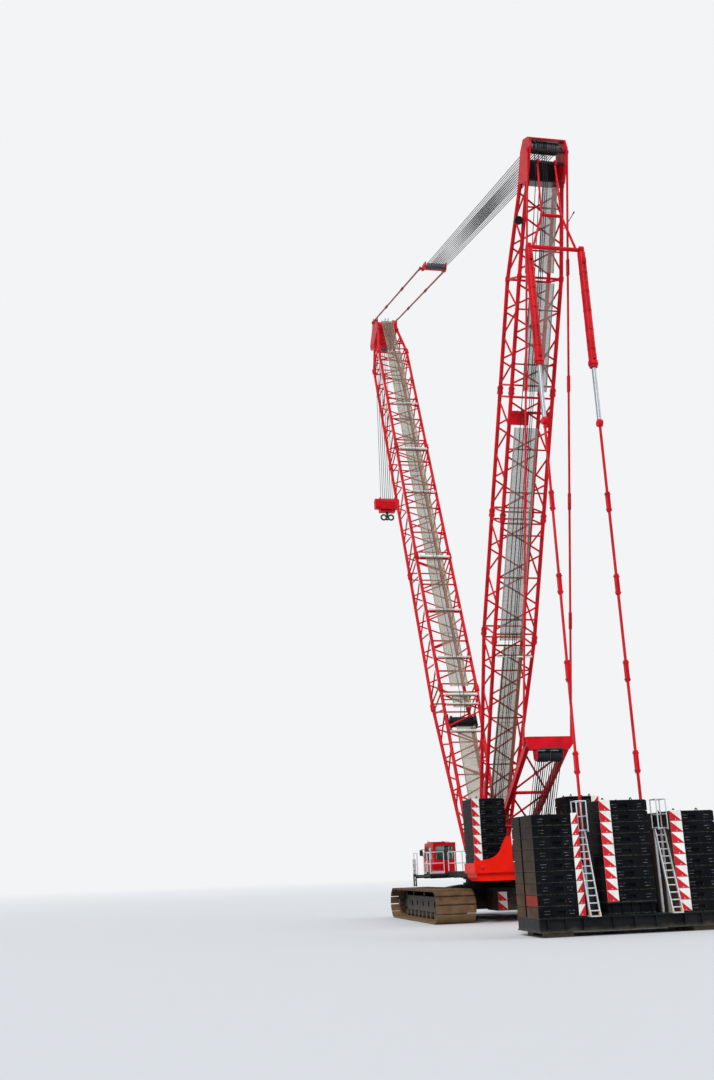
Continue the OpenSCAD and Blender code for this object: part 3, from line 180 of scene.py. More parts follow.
def belt(first: Vector, last: Vector, first_r: float, last_r: float) -> list[Vector]:
    """Gives the points of a rope that runs round two sheaves and closes on itself.

    Args:
        first: Centre of the first sheave.
        last: Centre of the last sheave.
        first_r: Radius of the rope's axis round the first sheave.
        last_r: Radius of the rope's axis round the last sheave.

    Returns:
        The points, the first one again at the end.
    """
    along = (last - first).normalized()
    off = Vector((-along.z, 0, along.x))
    out = arc(first, off * first_r, -along * first_r, first=180, last=0)
    back = arc(last, off * last_r, along * last_r)
    return [*out, *back, out[0]]


# Finishes


@dataclass(frozen=True)
class Finish:
    """A surface finish: two tones that drift into each other, settled dust and a fine grain.

    Attributes:
        name: What the real surface is.
        base: Main colour, sRGB hex.
        tone: Faded or darker second tone.
        dust: Colour of the dust that settles on it.
        drift_mm: Size of the patches of the second tone.
        grain_mm: Size of the surface grain.
        grain: Height of the grain in the bump, 0 to 1.
        roughness: Mean roughness.
        metallic: 0 for paint and rubber, 1 for bare metal.
        coat: Weight of a clear top coat.
        specular: Strength of the mirror light of paint and rubber, low for surfaces dulled by dust.
        dusty: Share of dust on top faces.
        splash_m: Height above ground up to which mud and dust cling, 0 for none.
        streak: Strength of the rain streaks down upright faces.
        zone: Lowest and highest corner of a region that shows another surface, none if empty.
        zone_base: Colour of that region, sRGB hex.
        zone_metal: Metallic value of that region.
    """

    name: str
    base: str
    tone: str
    dust: str = "#9A8E7C"
    drift_mm: float = 420
    grain_mm: float = 6
    grain: float = 0.12
    roughness: float = 0.4
    metallic: float = 0.0
    coat: float = 0.0
    specular: float = 0.16
    dusty: float = 0.25
    splash_m: float = 0.0
    streak: float = 0.3
    zone: tuple[Point, Point] | tuple[()] = ()
    zone_base: str = "#8B8F93"
    zone_metal: float = 0.85

    def colour(self, tree: Tree, place: Socket) -> Socket:
        """Mixes the clean colour: the base with soft patches of the second tone.

        Args:
            tree: Node tree of the material.
            place: Socket of the place on the object in metres.

        Returns:
            Colour socket.
        """
        patches = add_node(tree, "TexNoise",
                           {"Vector": place, "Scale": 1 / (self.drift_mm * MM), "Detail": 3.0,
                            "Roughness": 0.6})
        share = add_node(tree, "MapRange", {"Value": patches, "From Min": 0.4, "From Max": 0.68})
        mixed = add_node(tree, "Mix", {SHARE: share, UNDER: linear(self.base), OVER: linear(self.tone)},
                         data_type="RGBA")
        return mixed.outputs[MIXED]

    def weather(self, tree: Tree, place: Socket, clean: Socket) -> Socket:
        """Lays rain streaks on upright faces, dust on top faces and splashed mud low down.

        Args:
            tree: Node tree of the material.
            place: Socket of the place on the object in metres.
            clean: Colour socket of the clean surface.

        Returns:
            Colour socket.
        """
        drips = add_node(tree, "Mapping", {"Vector": place, "Scale": (22.0, 22.0, 1.3)})
        lines = add_node(tree, "TexNoise", {"Vector": drips, "Scale": 1.0, "Detail": 4.0})
        share = add_node(tree, "MapRange",
                         {"Value": lines, "From Min": 0.5, "From Max": 0.75, "To Max": self.streak})
        dark = add_node(tree, "Mix", {SHARE: share, UNDER: clean, OVER: linear("#ADA6A2")}, data_type="RGBA",
                        blend_type="MULTIPLY")
        facing = add_node(tree, "NewGeometry")
        up = add_node(tree, "SeparateXYZ", {0: facing.outputs["Normal"]})
        cover = add_node(tree, "TexNoise", {"Vector": place, "Scale": 9.0, "Detail": 5.0})
        top = add_node(tree, "MapRange",
                       {"Value": up.outputs[2], "From Min": 0.45, "From Max": 0.95, "To Max": self.dusty})
        settled = add_node(tree, "Math", {0: top, 1: cover}, operation="MULTIPLY")
        dusted = add_node(tree, "Mix", {SHARE: settled, UNDER: dark.outputs[MIXED], OVER: linear(self.dust)},
                          data_type="RGBA")
        if not self.splash_m:
            return dusted.outputs[MIXED]
        height = add_node(tree, "SeparateXYZ", {0: place})
        low = add_node(tree, "MapRange",
                       {"Value": height.outputs[2], "From Max": self.splash_m, "To Min": 1.0, "To Max": 0.0})
        clods = add_node(tree, "TexNoise", {"Vector": place, "Scale": 5.0, "Detail": 8.0, "Roughness": 0.65})
        reach = add_node(tree, "Math", {0: low, 1: clods}, operation="ADD")
        mud = add_node(tree, "MapRange", {"Value": reach, "From Min": 0.75, "From Max": 1.35, "To Max": 0.9})
        muddy = add_node(tree, "Mix", {SHARE: mud, UNDER: dusted.outputs[MIXED], OVER: linear(self.dust)},
                         data_type="RGBA")
        return muddy.outputs[MIXED]

    def dull(self, tree: Tree, place: Socket) -> Socket:
        """Varies the roughness round its mean, as hand marks and dust do.

        Args:
            tree: Node tree of the material.
            place: Socket of the place on the object in metres.

        Returns:
            Roughness socket.
        """
        marks = add_node(tree, "TexNoise", {"Vector": place, "Scale": 14.0, "Detail": 4.0})
        varied = add_node(tree, "MapRange",
                          {"Value": marks, "To Min": self.roughness - 0.1,
                           "To Max": min(1.0, self.roughness + 0.16)})
        return varied.outputs[0]

    def relief(self, tree: Tree, place: Socket) -> Socket:
        """Makes the bump of the surface grain.

        Args:
            tree: Node tree of the material.
            place: Socket of the place on the object in metres.

        Returns:
            Normal socket.
        """
        grit = add_node(tree, "TexNoise", {"Vector": place, "Scale": 1 / (self.grain_mm * MM), "Detail": 3.0})
        bump = add_node(tree, "Bump",
                        {"Height": grit, "Strength": self.grain, "Distance": self.grain_mm * MM * 0.3})
        return bump.outputs[0]

    def inside(self, tree: Tree, place: Socket, zone: Sequence[Point]) -> Socket:
        """Gives 1 inside the zone and 0 outside of it.

        Args:
            tree: Node tree of the material.
            place: Socket of the place on the object in metres.
            zone: Lowest and highest corner of the zone.

        Returns:
            Socket with the 1 or 0.
        """
        low, high = (Vector(corner) for corner in zone)
        centred = add_node(tree, "VectorMath", {0: place, 1: (low + high) / 2}, operation="SUBTRACT")
        reach = add_node(tree, "VectorMath", {0: centred}, operation="ABSOLUTE")
        over = add_node(tree, "VectorMath", {0: reach, 1: (high - low) / 2}, operation="SUBTRACT")
        axes = add_node(tree, "SeparateXYZ", {0: over})
        wide = add_node(tree, "Math", {0: axes, 1: axes.outputs[1]}, operation="MAXIMUM")
        most = add_node(tree, "Math", {0: wide, 1: axes.outputs[2]}, operation="MAXIMUM")
        return add_node(tree, "Math", {0: most, 1: 0.0}, operation="LESS_THAN").outputs[0]

    def build(self) -> Material:
        """Makes the material.

        Returns:
            The new material, or the one that is there already.
        """
        if self.name in bpy.data.materials:
            return bpy.data.materials[self.name]
        material = bpy.data.materials.new(self.name)
        material.use_nodes = True
        tree = material.node_tree
        shader = tree.nodes["Principled BSDF"]
        place = add_node(tree, "TexCoord").outputs["Object"]
        clean = self.colour(tree, place)
        if self.zone:
            share = self.inside(tree, place, self.zone)
            clean = add_node(tree, "Mix", {SHARE: share, UNDER: clean, OVER: linear(self.zone_base)},
                             data_type="RGBA").outputs[MIXED]
            metal = add_node(tree, "Mix", {SHARE: share, VALUE_A: self.metallic, VALUE_B: self.zone_metal},
                             data_type="FLOAT")
            tree.links.new(metal.outputs[0], shader.inputs["Metallic"])
        tree.links.new(self.weather(tree, place, clean), shader.inputs["Base Color"])
        tree.links.new(self.dull(tree, place), shader.inputs["Roughness"])
        tree.links.new(self.relief(tree, place), shader.inputs["Normal"])
        shader.inputs["Metallic"].default_value = self.metallic
        shader.inputs["Coat Weight"].default_value = self.coat
        shader.inputs["Specular IOR Level"].default_value = self.specular
        shader.inputs["Coat Roughness"].default_value = 0.12
        material.diffuse_color = linear(self.base)
        return material


@dataclass(frozen=True)
class SlabFinish(Finish):
    """Black enamel on cast ballast slabs, chipped pale along each slab's edges.

    Where it has a primer region, the stack's sides are also brown with dust low down.

    Attributes:
        first_m: Height of the lowest slab's underside.
        pitch_m: Height of one slab.
        primer: Lowest and highest corner of the side faces that show red primer, none if empty.
    """

    first_m: float = 0.35
    pitch_m: float = SLAB_PITCH
    primer: tuple[Point, Point] | tuple[()] = ()

    def colour(self, tree: Tree, place: Socket) -> Socket:
        """Mixes black with pale chips near the slab edges, and dust and bare primer on the sides.

        Args:
            tree: Node tree of the material.
            place: Socket of the place on the object in metres.

        Returns:
            Colour socket.
        """
        clean = super().colour(tree, place)
        height = add_node(tree, "SeparateXYZ", {0: place}).outputs[2]
        level = add_node(tree, "Math", {0: height, 1: self.first_m}, operation="SUBTRACT")
        course = add_node(tree, "Math", {0: level, 1: self.pitch_m / 2}, operation="PINGPONG")
        chips = add_node(tree, "TexNoise", {"Vector": place, "Scale": 26.0, "Detail": 6.0, "Roughness": 0.7})
        worn = add_node(tree, "Math", {0: chips, 1: 0.09, 2: -0.038}, operation="MULTIPLY_ADD")
        near = add_node(tree, "Math", {0: course, 1: worn}, operation="LESS_THAN")
        chipped = add_node(tree, "Mix", {SHARE: near, UNDER: clean, OVER: linear("#3E3C38")},
                           data_type="RGBA")
        if not self.primer:
            return chipped.outputs[MIXED]
        facing = add_node(tree, "SeparateXYZ", {0: add_node(tree, "NewGeometry").outputs["Normal"]})
        across = add_node(tree, "Math", {0: facing.outputs[1]}, operation="ABSOLUTE")
        side = add_node(tree, "Math", {0: across, 1: 0.7}, operation="GREATER_THAN")
        low = add_node(tree, "MapRange",
                       {"Value": height, "From Min": 0.5, "From Max": 2.2, "To Min": 0.9, "To Max": 0.1})
        clouds = add_node(tree, "TexNoise", {"Vector": place, "Scale": 3.0, "Detail": 6.0})
        share = add_node(tree, "Math", {0: side, 1: low}, operation="MULTIPLY")
        dusty = add_node(tree, "Math", {0: share, 1: clouds}, operation="MULTIPLY")
        brown = add_node(tree, "Mix", {SHARE: dusty, UNDER: chipped.outputs[MIXED], OVER: linear("#7A5A3E")},
                         data_type="RGBA")
        zone = self.inside(tree, place, self.primer)
        bare = add_node(tree, "Math", {0: side, 1: zone}, operation="MULTIPLY")
        return add_node(tree, "Mix", {SHARE: bare, UNDER: brown.outputs[MIXED], OVER: linear("#94301E")},
                        data_type="RGBA").outputs[MIXED]


@dataclass(frozen=True)
class RopeFinish(Finish):
    """Greased wire rope: strand crowns laid in a helix, drawn coarser than the real ones so that they show.

    Attributes:
        lay_m: Length in which a strand goes once round the rope.
        strands: Number of outer strands.
    """

    lay_m: float = 0.1
    strands: int = 6

    def relief(self, tree: Tree, place: Socket) -> Socket:
        """Makes the strands' round crowns from the tube's own map: across is u, metres along is v.

        Args:
            tree: Node tree of the material.
            place: Socket of the place on the object in metres.

        Returns:
            Normal socket.
        """
        chart = add_node(tree, "UVMap")
        part = add_node(tree, "SeparateXYZ", {0: chart})
        along = add_node(tree, "Math", {0: part.outputs[1], 1: self.lay_m}, operation="DIVIDE")
        turns = add_node(tree, "Math", {0: part, 1: along}, operation="ADD")
        phase = add_node(tree, "Math", {0: turns, 1: float(self.strands)}, operation="MULTIPLY")
        crown = add_node(tree, "Math", {0: phase, 1: 0.5}, operation="PINGPONG")
        bump = add_node(tree, "Bump", {"Height": crown, "Strength": 0.7, "Distance": 0.004})
        return bump.outputs[0]


@dataclass(frozen=True)
class GlassFinish:
    """Tinted laminated cab glass: clear with a green-grey cast and a faint film of dust.

    Attributes:
        name: What the real surface is.
        tint: Colour of the glass, sRGB hex.
    """

    name: str = "Laminated cab glass"
    tint: str = "#AEBDB8"

    def build(self) -> Material:
        """Makes the glass.

        Returns:
            The new material, or the one that is there already.
        """
        if self.name in bpy.data.materials:
            return bpy.data.materials[self.name]
        material = bpy.data.materials.new(self.name)
        material.use_nodes = True
        tree = material.node_tree
        shader = tree.nodes["Principled BSDF"]
        place = add_node(tree, "TexCoord").outputs["Object"]
        film = add_node(tree, "TexNoise", {"Vector": place, "Scale": 12.0, "Detail": 4.0})
        haze = add_node(tree, "MapRange", {"Value": film, "To Min": 0.02, "To Max": 0.16})
        tree.links.new(haze.outputs[0], shader.inputs["Roughness"])
        shader.inputs["Base Color"].default_value = linear(self.tint)
        shader.inputs["Transmission Weight"].default_value = 0.92
        shader.inputs["IOR"].default_value = 1.45
        return material


# Sprayed two-pack enamel: a bright glossy red that has faded and gathered road dust.
CRANE_RED = Finish("Sprayed red enamel", "#D41020", "#B00A18", roughness=0.38, specular=0.12, dusty=0.12,
                   streak=0.3)
# A fresher, more orange enamel on the counterweight carrier.
CARRIER_RED = Finish("Orange-red enamel", "#EE1E0E", "#DA190D", roughness=0.4, specular=0.1, dusty=0.12,
                     streak=0.16)
# Black enamel over the frames under the ballast, with clinging dust.
FRAME_BLACK = Finish("Dark grey chassis enamel", "#1A1919", "#262423", roughness=0.5, specular=0.12,
                     dusty=0.35, splash_m=0.9, dust="#5E5548")
# The tray's base frame: black enamel, scuffed by slings, with a little mud along its foot.
TRAY_FRAME = Finish("Black tray frame enamel", "#131415", "#1E2021", roughness=0.42, specular=0.1, dusty=0.3,
                    splash_m=0.22, dust="#5E5548")
# Black enamel on cast slabs, chalked and scuffed where slings and forks touched them.
DECK_BLACK = SlabFinish("Black slab enamel", "#0C0E11", "#15171A", roughness=0.4, specular=0.035, dusty=0.16,
                        first_m=1.4)
# The same enamel on the tray's stacks: the outer ones stand lower, and one slab shows primer.
TRAY_BLACK = replace(DECK_BLACK, name="Black tray slab enamel", dusty=0.18, first_m=0.35,
                     primer=((-8.72, 1.0, 0.565), (-7.995, 2.4, 0.774)))
MIDDLE_BLACK = replace(TRAY_BLACK, name="Black middle slab enamel", first_m=0.59, primer=())
# Cast manganese steel shoes: brown with dried mud, rubbed paler on the pads.
SHOE_STEEL = Finish("Cast manganese steel shoes", "#4A382A", "#6B5138", dust="#80664A", roughness=0.78,
                    metallic=0.2, drift_mm=160, grain_mm=14, grain=0.5, dusty=0.9, splash_m=0.9)
# Hot-dip galvanised open grating, weathered tan with dust.
GRATING_TAN = Finish("Weathered galvanised grating", "#A89C86", "#8C8170", roughness=0.66, metallic=0.2,
                     drift_mm=700, dusty=0.3)
# The mast's grating, newer and paler.
GRATING_GREY = Finish("New galvanised grating", "#A8A69F", "#8D877C", roughness=0.6, metallic=0.2,
                      drift_mm=900, dusty=0.3, zone=((-6, -2, 0), (2, 2, 7.1)), zone_base="#8E7A62",
                      zone_metal=0.1)
# Hot-dip galvanised tube: pale grey with a soft spangle.
GALVANISED = Finish("Galvanised steel tube", "#D3D7D9", "#BCC1C4", roughness=0.42, metallic=0.5, drift_mm=40,
                    grain_mm=18, grain=0.08, dusty=0.2)
# Turned bare steel, lightly oiled: soft grey highlights.
MACHINED = Finish("Turned bare steel", "#8B8F93", "#74787C", roughness=0.34, metallic=0.9, drift_mm=90,
                  dusty=0.2)
# Black enamel that slings have rubbed off the slabs' lugs; the pale grey patches are partly that wear and
# partly painted glints.
WORN_BLACK_AND_GLINTS = Finish("Rubbed black enamel with painted glints", "#1B1D20", "#6E7073", roughness=0.4, metallic=0.35,
                    drift_mm=60, dusty=0.2)
# Forged and blackened steel of the hook.
FORGED = Finish("Blackened forged steel", "#2E2C2C", "#3F3B39", roughness=0.5, metallic=0.5, drift_mm=90,
                dusty=0.2)
# Greased wire rope, blue-grey in daylight.
WIRE_ROPE = RopeFinish("Greased wire rope", "#5A6470", "#454E58", roughness=0.42, metallic=0.6, drift_mm=130,
                       dusty=0.1, streak=0.1)
# Darker, freshly greased rope on the mast.
DARK_ROPE = replace(WIRE_ROPE, name="Black greased wire rope", base="#25282D", tone="#191B1F", roughness=0.45,
                    metallic=0.3, dusty=0.05)
# Retro-reflective sheeting on the hazard boards, white ground and red triangles.
BOARD_WHITE = Finish("White reflective sheeting", "#EDECE6", "#DAD8D0", roughness=0.35, grain_mm=3,
                     grain=0.06, dusty=0.1, streak=0.16)
BOARD_RED = replace(BOARD_WHITE, name="Red reflective sheeting", base="#CC1F2A", tone="#B81B25")
GLASS = GlassFinish()
# Moulded black rubber of hoses, seals and pads.
RUBBER = Finish("Black nitrile rubber", "#1C1D1F", "#292A2C", roughness=0.7, grain_mm=2, grain=0.3, dusty=0.3)
# White enamel on guide rollers and lamp housings.
WHITE_ENAMEL = Finish("White enamel", "#E4E3DC", "#CFCDC4", roughness=0.42, coat=0.15, dusty=0.4)
# Yellow polyurethane pads and grease caps.
YELLOW_PU = Finish("Yellow polyurethane", "#D9B21F", "#BF9A1C", roughness=0.5, dusty=0.4)

# Crane red or chassis enamel with another surface in one region of the same node: the cab's seat and console,
# the chromed rods, the walkway's galvanised rails, the sheaves in the A-frame, hook block and equaliser. The
# mast head's block gets painted shade instead: a near-black region for the shadowed inside of its head. The
# boom pendants are a darker red.
CAB_RED = replace(CRANE_RED, name="Cab enamel and trim", zone=((0.4, 1.15, 1.18), (1.14, 1.5, 1.8)),
                  zone_base="#26282B", zone_metal=0.0)
PENDANT_RED = replace(CRANE_RED, name="Pendant enamel and chrome", zone=((-8.3, -1, 10.965), (-7.9, 1, 13.0)),
                      zone_base="#9FA5AC", zone_metal=1.0)
PLATFORM_BLACK = replace(FRAME_BLACK, name="Chassis enamel and galvanised rails",
                         zone=((-2.8, 0.4, 1.165), (1.5, 2.1, 1.9)), zone_base="#D3D7D9", zone_metal=0.5)
PENDANT_DARK = replace(CRANE_RED, name="Dark red pendant enamel", base="#8E1020", tone="#6E0E1C")
GANTRY_RED = replace(CRANE_RED, name="A-frame enamel and sheaves",
                     zone=((-4.97, -0.31, 3.4), (-4.62, 0.31, 3.93)), zone_base="#3E4146", zone_metal=0.6)
# Painted shade: the near-black region of the mast head's block stands for the shade inside its open head.
HEAD_RED_WITH_PAINTED_SHADE = replace(CRANE_RED, name="Mast head enamel and painted shade inside",
                   zone=((-9, -0.445, 16.5), (-7, 0.445, 18.1)), zone_base="#2B2526", zone_metal=0.0)
BLOCK_RED = replace(CRANE_RED, name="Hook block enamel and sheaves",
                    zone=((11.0, -0.27, 15.38), (11.6, 0.27, 15.82)))
EQUALISER_RED = replace(CRANE_RED, name="Equaliser enamel and sheaves",
                        zone=((1.96, -0.33, 20.93), (2.2, 0.33, 21.15)))

# Nodes that aren't crane red all over.
FINISH_NODES: tuple[tuple[Finish, tuple[str, ...]], ...] = (
    (FRAME_BLACK, ("car_body", "track_frame_left", "track_frame_right")),
    (SHOE_STEEL, ("track_left", "track_right")),
    (CARRIER_RED, ("counterweight_carrier",)),
    (DECK_BLACK, ("deck_stack_left", "deck_stack_right")),
    (TRAY_FRAME, ("tray_frame",)),
    (TRAY_BLACK, ("tray_stack_left", "tray_stack_right")),
    (MIDDLE_BLACK, ("tray_stack_middle",)),
    (GALVANISED, ("tray_ladders",)),
    (MACHINED, ("hoist_drum", "boom_hoist_drum", "boom_head_sheaves", "mast_head_sheaves")),
    (FORGED, ("hook",)),
    (GRATING_TAN, ("boom_catwalk", "mast_catwalk")),
    (WIRE_ROPE, ("hoist_ropes", "stay_ropes")),
    (PENDANT_DARK, ("boom_pendants",)),
    (PENDANT_RED, ("superlift_rods",)),
    (PLATFORM_BLACK, ("cab_platform",)),
    (CAB_RED, ("cab_shell",)),
    (GANTRY_RED, ("a_frame",)),
    (HEAD_RED_WITH_PAINTED_SHADE, ("mast_head_block",)),
    (BLOCK_RED, ("hook_block",)),
    (EQUALISER_RED, ("equaliser",)),
)


# Mesh making


@dataclass
class MeshMaker:
    """Gathers tubes, bars and plates and turns them into one piece.

    Attributes:
        name: Name of the piece.
        verts: Corner points.
        faces: Faces by corner numbers.
        charts: Texture place of each face corner.
    """

    name: str
    verts: list[Vector] = field(default_factory=list)
    faces: list[tuple[int, ...]] = field(default_factory=list)
    charts: list[Pair] = field(default_factory=list)

    def face(self, numbers: Sequence[int], charts: Sequence[Pair] | None = None) -> None:
        """Adds one face with its texture places."""
        self.faces.append(tuple(numbers))
        self.charts.extend(charts or [(0.0, 0.0)] * len(numbers))

    def tube(self, points: Sequence[Point], radius: float, sides: int = 8) -> None:
        """Adds a round tube with capped ends along the points, its lengthwise metres in the texture map.

        Args:
            points: Points of the tube's axis.
            radius: Radius of the tube.
            sides: Number of sides.
        """
        line = [Vector(p) for p in points]
        start = len(self.verts)
        run = 0.0
        runs = []
        for i, at in enumerate(line):
            before = (at - line[i - 1]).normalized() if i else (line[1] - at).normalized()
            after = (line[i + 1] - at).normalized() if i + 1 < len(line) else before
            along = (before + after).normalized()
            run += (at - line[i - 1]).length if i else 0.0
            runs.append(run)
            guide = Vector((0, 0, 1)) if abs(along.z) < 0.9 else Vector((1, 0, 0))
            if i:
                guide = last
            side = along.cross(guide).normalized()
            last = side.cross(along).normalized()
            for k in range(sides):
                a = 2 * math.pi * k / sides
                self.verts.append(at + radius * (math.cos(a) * side + math.sin(a) * last))
        for i in range(len(line) - 1):
            for k in range(sides):
                a, b = start + i * sides + k, start + i * sides + (k + 1) % sides
                u0, u1 = k / sides, (k + 1) / sides
                v0, v1 = runs[i], runs[i + 1]
                self.face((a, b, b + sides, a + sides), [(u0, v0), (u1, v0), (u1, v1), (u0, v1)])
        self.face([start + k for k in range(sides)][::-1])
        self.face([start + (len(line) - 1) * sides + k for k in range(sides)])

    def bar(self, a: Point, b: Point, across: float, deep: float, up: Point = (0, 0, 1)) -> None:
        """Adds a rectangular bar between two points.

        Args:
            a: Start of the bar's axis.
            b: End of the bar's axis.
            across: Width at right angles to up.
            deep: Depth along up.
            up: Direction of the depth.
        """
        first, second = Vector(a), Vector(b)
        along = (second - first).normalized()
        side = along.cross(Vector(up)).normalized()
        rise = side.cross(along)
        start = len(self.verts)
        for at in (first, second):
            for sx, sz in ((-1, -1), (1, -1), (1, 1), (-1, 1)):
                self.verts.append(at + side * sx * across / 2 + rise * sz * deep / 2)
        for k in range(4):
            n = (k + 1) % 4
            self.face((start + k, start + n, start + n + 4, start + k + 4))
        self.face((start + 3, start + 2, start + 1, start))
        self.face((start + 4, start + 5, start + 6, start + 7))

    def box(self, low: Point, high: Point) -> None:
        """Adds a box between two corners."""
        mid_y, mid_z = (low[1] + high[1]) / 2, (low[2] + high[2]) / 2
        self.bar((low[0], mid_y, mid_z), (high[0], mid_y, mid_z), high[1] - low[1], high[2] - low[2])

    def prism(self, corners: Sequence[Point], push: Vector) -> None:
        """Adds a flat polygon pushed along a vector, with both of its sides.

        Args:
            corners: Corners of the polygon in order.
            push: Vector from one side to the other.
        """
        start, count = len(self.verts), len(corners)
        self.verts.extend(Vector(c) for c in corners)
        self.verts.extend(Vector(c) + push for c in corners)
        ring = list(range(count))
        normal = (Vector(corners[1]) - Vector(corners[0])).cross(Vector(corners[2]) - Vector(corners[1]))
        if normal.dot(push) < 0:
            ring.reverse()
        self.face([start + k for k in ring][::-1])
        self.face([start + count + k for k in ring])
        for i, k in enumerate(ring):
            n = ring[(i + 1) % count]
            self.face((start + k, start + n, start + count + n, start + count + k))

    def plate(self, outline: Sequence[Pair], y0: float, y1: float) -> None:
        """Adds a plate across Y with its outline given in X and Z."""
        self.prism([(x, y0, z) for x, z in outline], Vector((0, y1 - y0, 0)))

    def ball(self, at: Point, radius: float) -> None:
        """Adds a small ball, as on the corner of a seal."""
        rings = [(radius * math.sin(a), radius * math.cos(a)) for a in (-1.45, -0.9, -0.3, 0.3, 0.9, 1.45)]
        self.lathe(at, UPRIGHT, rings, 8)

    def lathe(self, centre: Point, axis: Point, profile: Sequence[Pair], sides: int = 16) -> None:
        """Adds a turned shape.

        Args:
            centre: Origin of the profile.
            axis: Direction of the turning axis.
            profile: Pairs of place along the axis and radius.
            sides: Number of sides.
        """
        along = Vector(axis).normalized()
        side = along.orthogonal().normalized()
        rise = along.cross(side)
        start = len(self.verts)
        for z, r in profile:
            for k in range(sides):
                a = 2 * math.pi * k / sides
                self.verts.append(Vector(centre) + along * z + r * (math.cos(a) * side + math.sin(a) * rise))
        for i in range(len(profile) - 1):
            for k in range(sides):
                a, b = start + i * sides + k, start + i * sides + (k + 1) % sides
                self.face((a, b, b + sides, a + sides))
        self.face([start + k for k in range(sides)][::-1])
        self.face([start + (len(profile) - 1) * sides + k for k in range(sides)])

    def pin(self, centre: Point, half: float, radius: float, end: float, chamfer: float,
            sides: int = 16) -> None:
        """Adds a chamfered pin across the crane.

        Args:
            centre: Middle of the pin.
            half: Half its length.
            radius: Its radius.
            end: Radius of its end faces.
            chamfer: Length of its chamfers.
            sides: Number of sides.
        """
        outline = [(-half, end), (chamfer - half, radius), (half - chamfer, radius), (half, end)]
        self.lathe(centre, ACROSS, outline, sides)

    def ring(self, centre: Point, half: float, bore: float, radius: float) -> None:
        """Adds a round eye across the crane, open at its bore."""
        self.lathe(centre, ACROSS, [(-half, bore), (-half, radius), (half, radius), (half, bore)], 24)

    def lifting_eye(self, foot: Point) -> None:
        """Adds a bent-bar lifting eye that stands along the crane."""
        self.tube(arc(foot, (0.05, 0, 0), (0, 0, 0.055)), 0.011, 8)

    def winding(self, centre: Point, half: float, radius: float, rope_r: float, side: Point = (1, 0, 0),
                rise: Point = UPRIGHT) -> None:
        """Adds the rope on a drum that lies across the crane.

        Args:
            centre: Middle of the drum.
            half: Half the length of the winding.
            radius: Radius of the rope's axis.
            rope_r: Radius of the rope.
            side: Direction from the axis to the rope's start.
            rise: Direction at right angles to side and to the axis.
        """
        turns, steps = 30, 20
        coil = arc(centre, Vector(side) * radius, Vector(rise) * radius, turns * steps, 0, 360 * turns)
        reach = [Vector((0, half * (2 * k / (turns * steps) - 1), 0)) for k in range(turns * steps + 1)]
        self.tube([at + off for at, off in zip(coil, reach)], rope_r, 6)

    def bolt(self, at: Point, axis: Point, size: float) -> None:
        """Adds a hexagon bolt head on its washer.

        Args:
            at: Middle of the washer's seat.
            axis: Direction in which the head points.
            size: Width of the head across its flats.
        """
        self.lathe(at, axis, [(0, size * 0.62), (size * 0.1, size * 0.62)], 14)
        self.lathe(Vector(at) + Vector(axis).normalized() * size * 0.1, axis,
                   [(0, size * 0.5), (size * 0.34, size * 0.5), (size * 0.4, size * 0.42)], 6)

    def form(self, finish: Finish | GlassFinish, bevel: float = 0.0, smooth: bool = True) -> Piece:
        """Makes the object and gives it its finish.

        Args:
            finish: Finish of the whole piece.
            bevel: Width of the rounding on its edges, 0 for none.
            smooth: Whether faces that meet at a small angle are shaded as one.

        Returns:
            The new object.
        """
        mesh = bpy.data.meshes.new(self.name)
        mesh.from_pydata([tuple(v) for v in self.verts], [], self.faces)
        chart = mesh.uv_layers.new(name="UVMap")
        for i, uv in enumerate(self.charts):
            chart.data[i].uv = uv
        mesh.materials.append(finish.build())
        if smooth:
            mesh.shade_smooth()
            mesh.set_sharp_from_angle(angle=math.radians(35))
        piece = bpy.data.objects.new(self.name, mesh)
        bpy.context.scene.collection.objects.link(piece)
        if bevel:
            edge = piece.modifiers.new("Edge rounding", "BEVEL")
            edge.width = bevel
            edge.segments = 2
            edge.limit_method = "ANGLE"
        LOG.info("piece %s: %d faces", self.name, len(self.faces))
        return piece

    def piece(self, finish: Finish | GlassFinish, body: str, **edges: Any) -> Piece:
        """Makes the object and lets it ride on a body.

        Args:
            finish: Finish of the whole piece.
            body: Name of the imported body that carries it.
            edges: The bevel and smooth values of form.

        Returns:
            The new object.
        """
        piece = self.form(finish, **edges)
        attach(piece, body)
        return piece

    def spanning(self, finish: Finish, start: Point, end: Point) -> Piece:
        """Makes the object and bakes its place into its mesh; it rides on no body.

        Args:
            finish: Finish of the whole piece.
            start: Where the piece leaves the first body; not used.
            end: Where it reaches the second one; not used.

        Returns:
            The new object.
        """
        piece = self.form(finish)
        tuple(start)
        tuple(end)
        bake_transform(piece)
        return piece


# Sizes that several sub-assemblies share


@dataclass(frozen=True)
class Lattice:
    """Place and size of the boom or the mast.

    Attributes:
        foot: Place of its foot's pin.
        turn: Tilt from upright towards the front, in degrees.
        depth: Depth over the chords' axes.
        width: Width over them.
        foot_depth: Depth at the foot.
        foot_width: Width at the foot.
        foot_taper: Where along the lattice the foot starts to widen and where it ends.
        chord: Diameter of a chord.
    """

    foot: Point
    turn: float
    depth: float
    width: float
    foot_depth: float
    foot_width: float
    foot_taper: Pair
    chord: float

    def at(self, x: float, y: float, z: float) -> Vector:
        """Gives the place of a point in the lattice's own directions, z along it from its foot."""
        turn = math.radians(self.turn)
        return Vector((self.foot[0] + x * math.cos(turn) + z * math.sin(turn), y,
                       self.foot[2] - x * math.sin(turn) + z * math.cos(turn)))


BOOM = Lattice((0.85, 0.0, 1.48), turn=90 - 66.3, depth=1.15, width=1.15, foot_depth=0.38, foot_width=0.89,
               foot_taper=(0.36, 5.3), chord=0.104)
MAST = Lattice((0.06, 0.0, 1.64), turn=-26.0, depth=0.92, width=1.09, foot_depth=0.24, foot_width=0.7,
               foot_taper=(0.38, 6.1), chord=0.1)


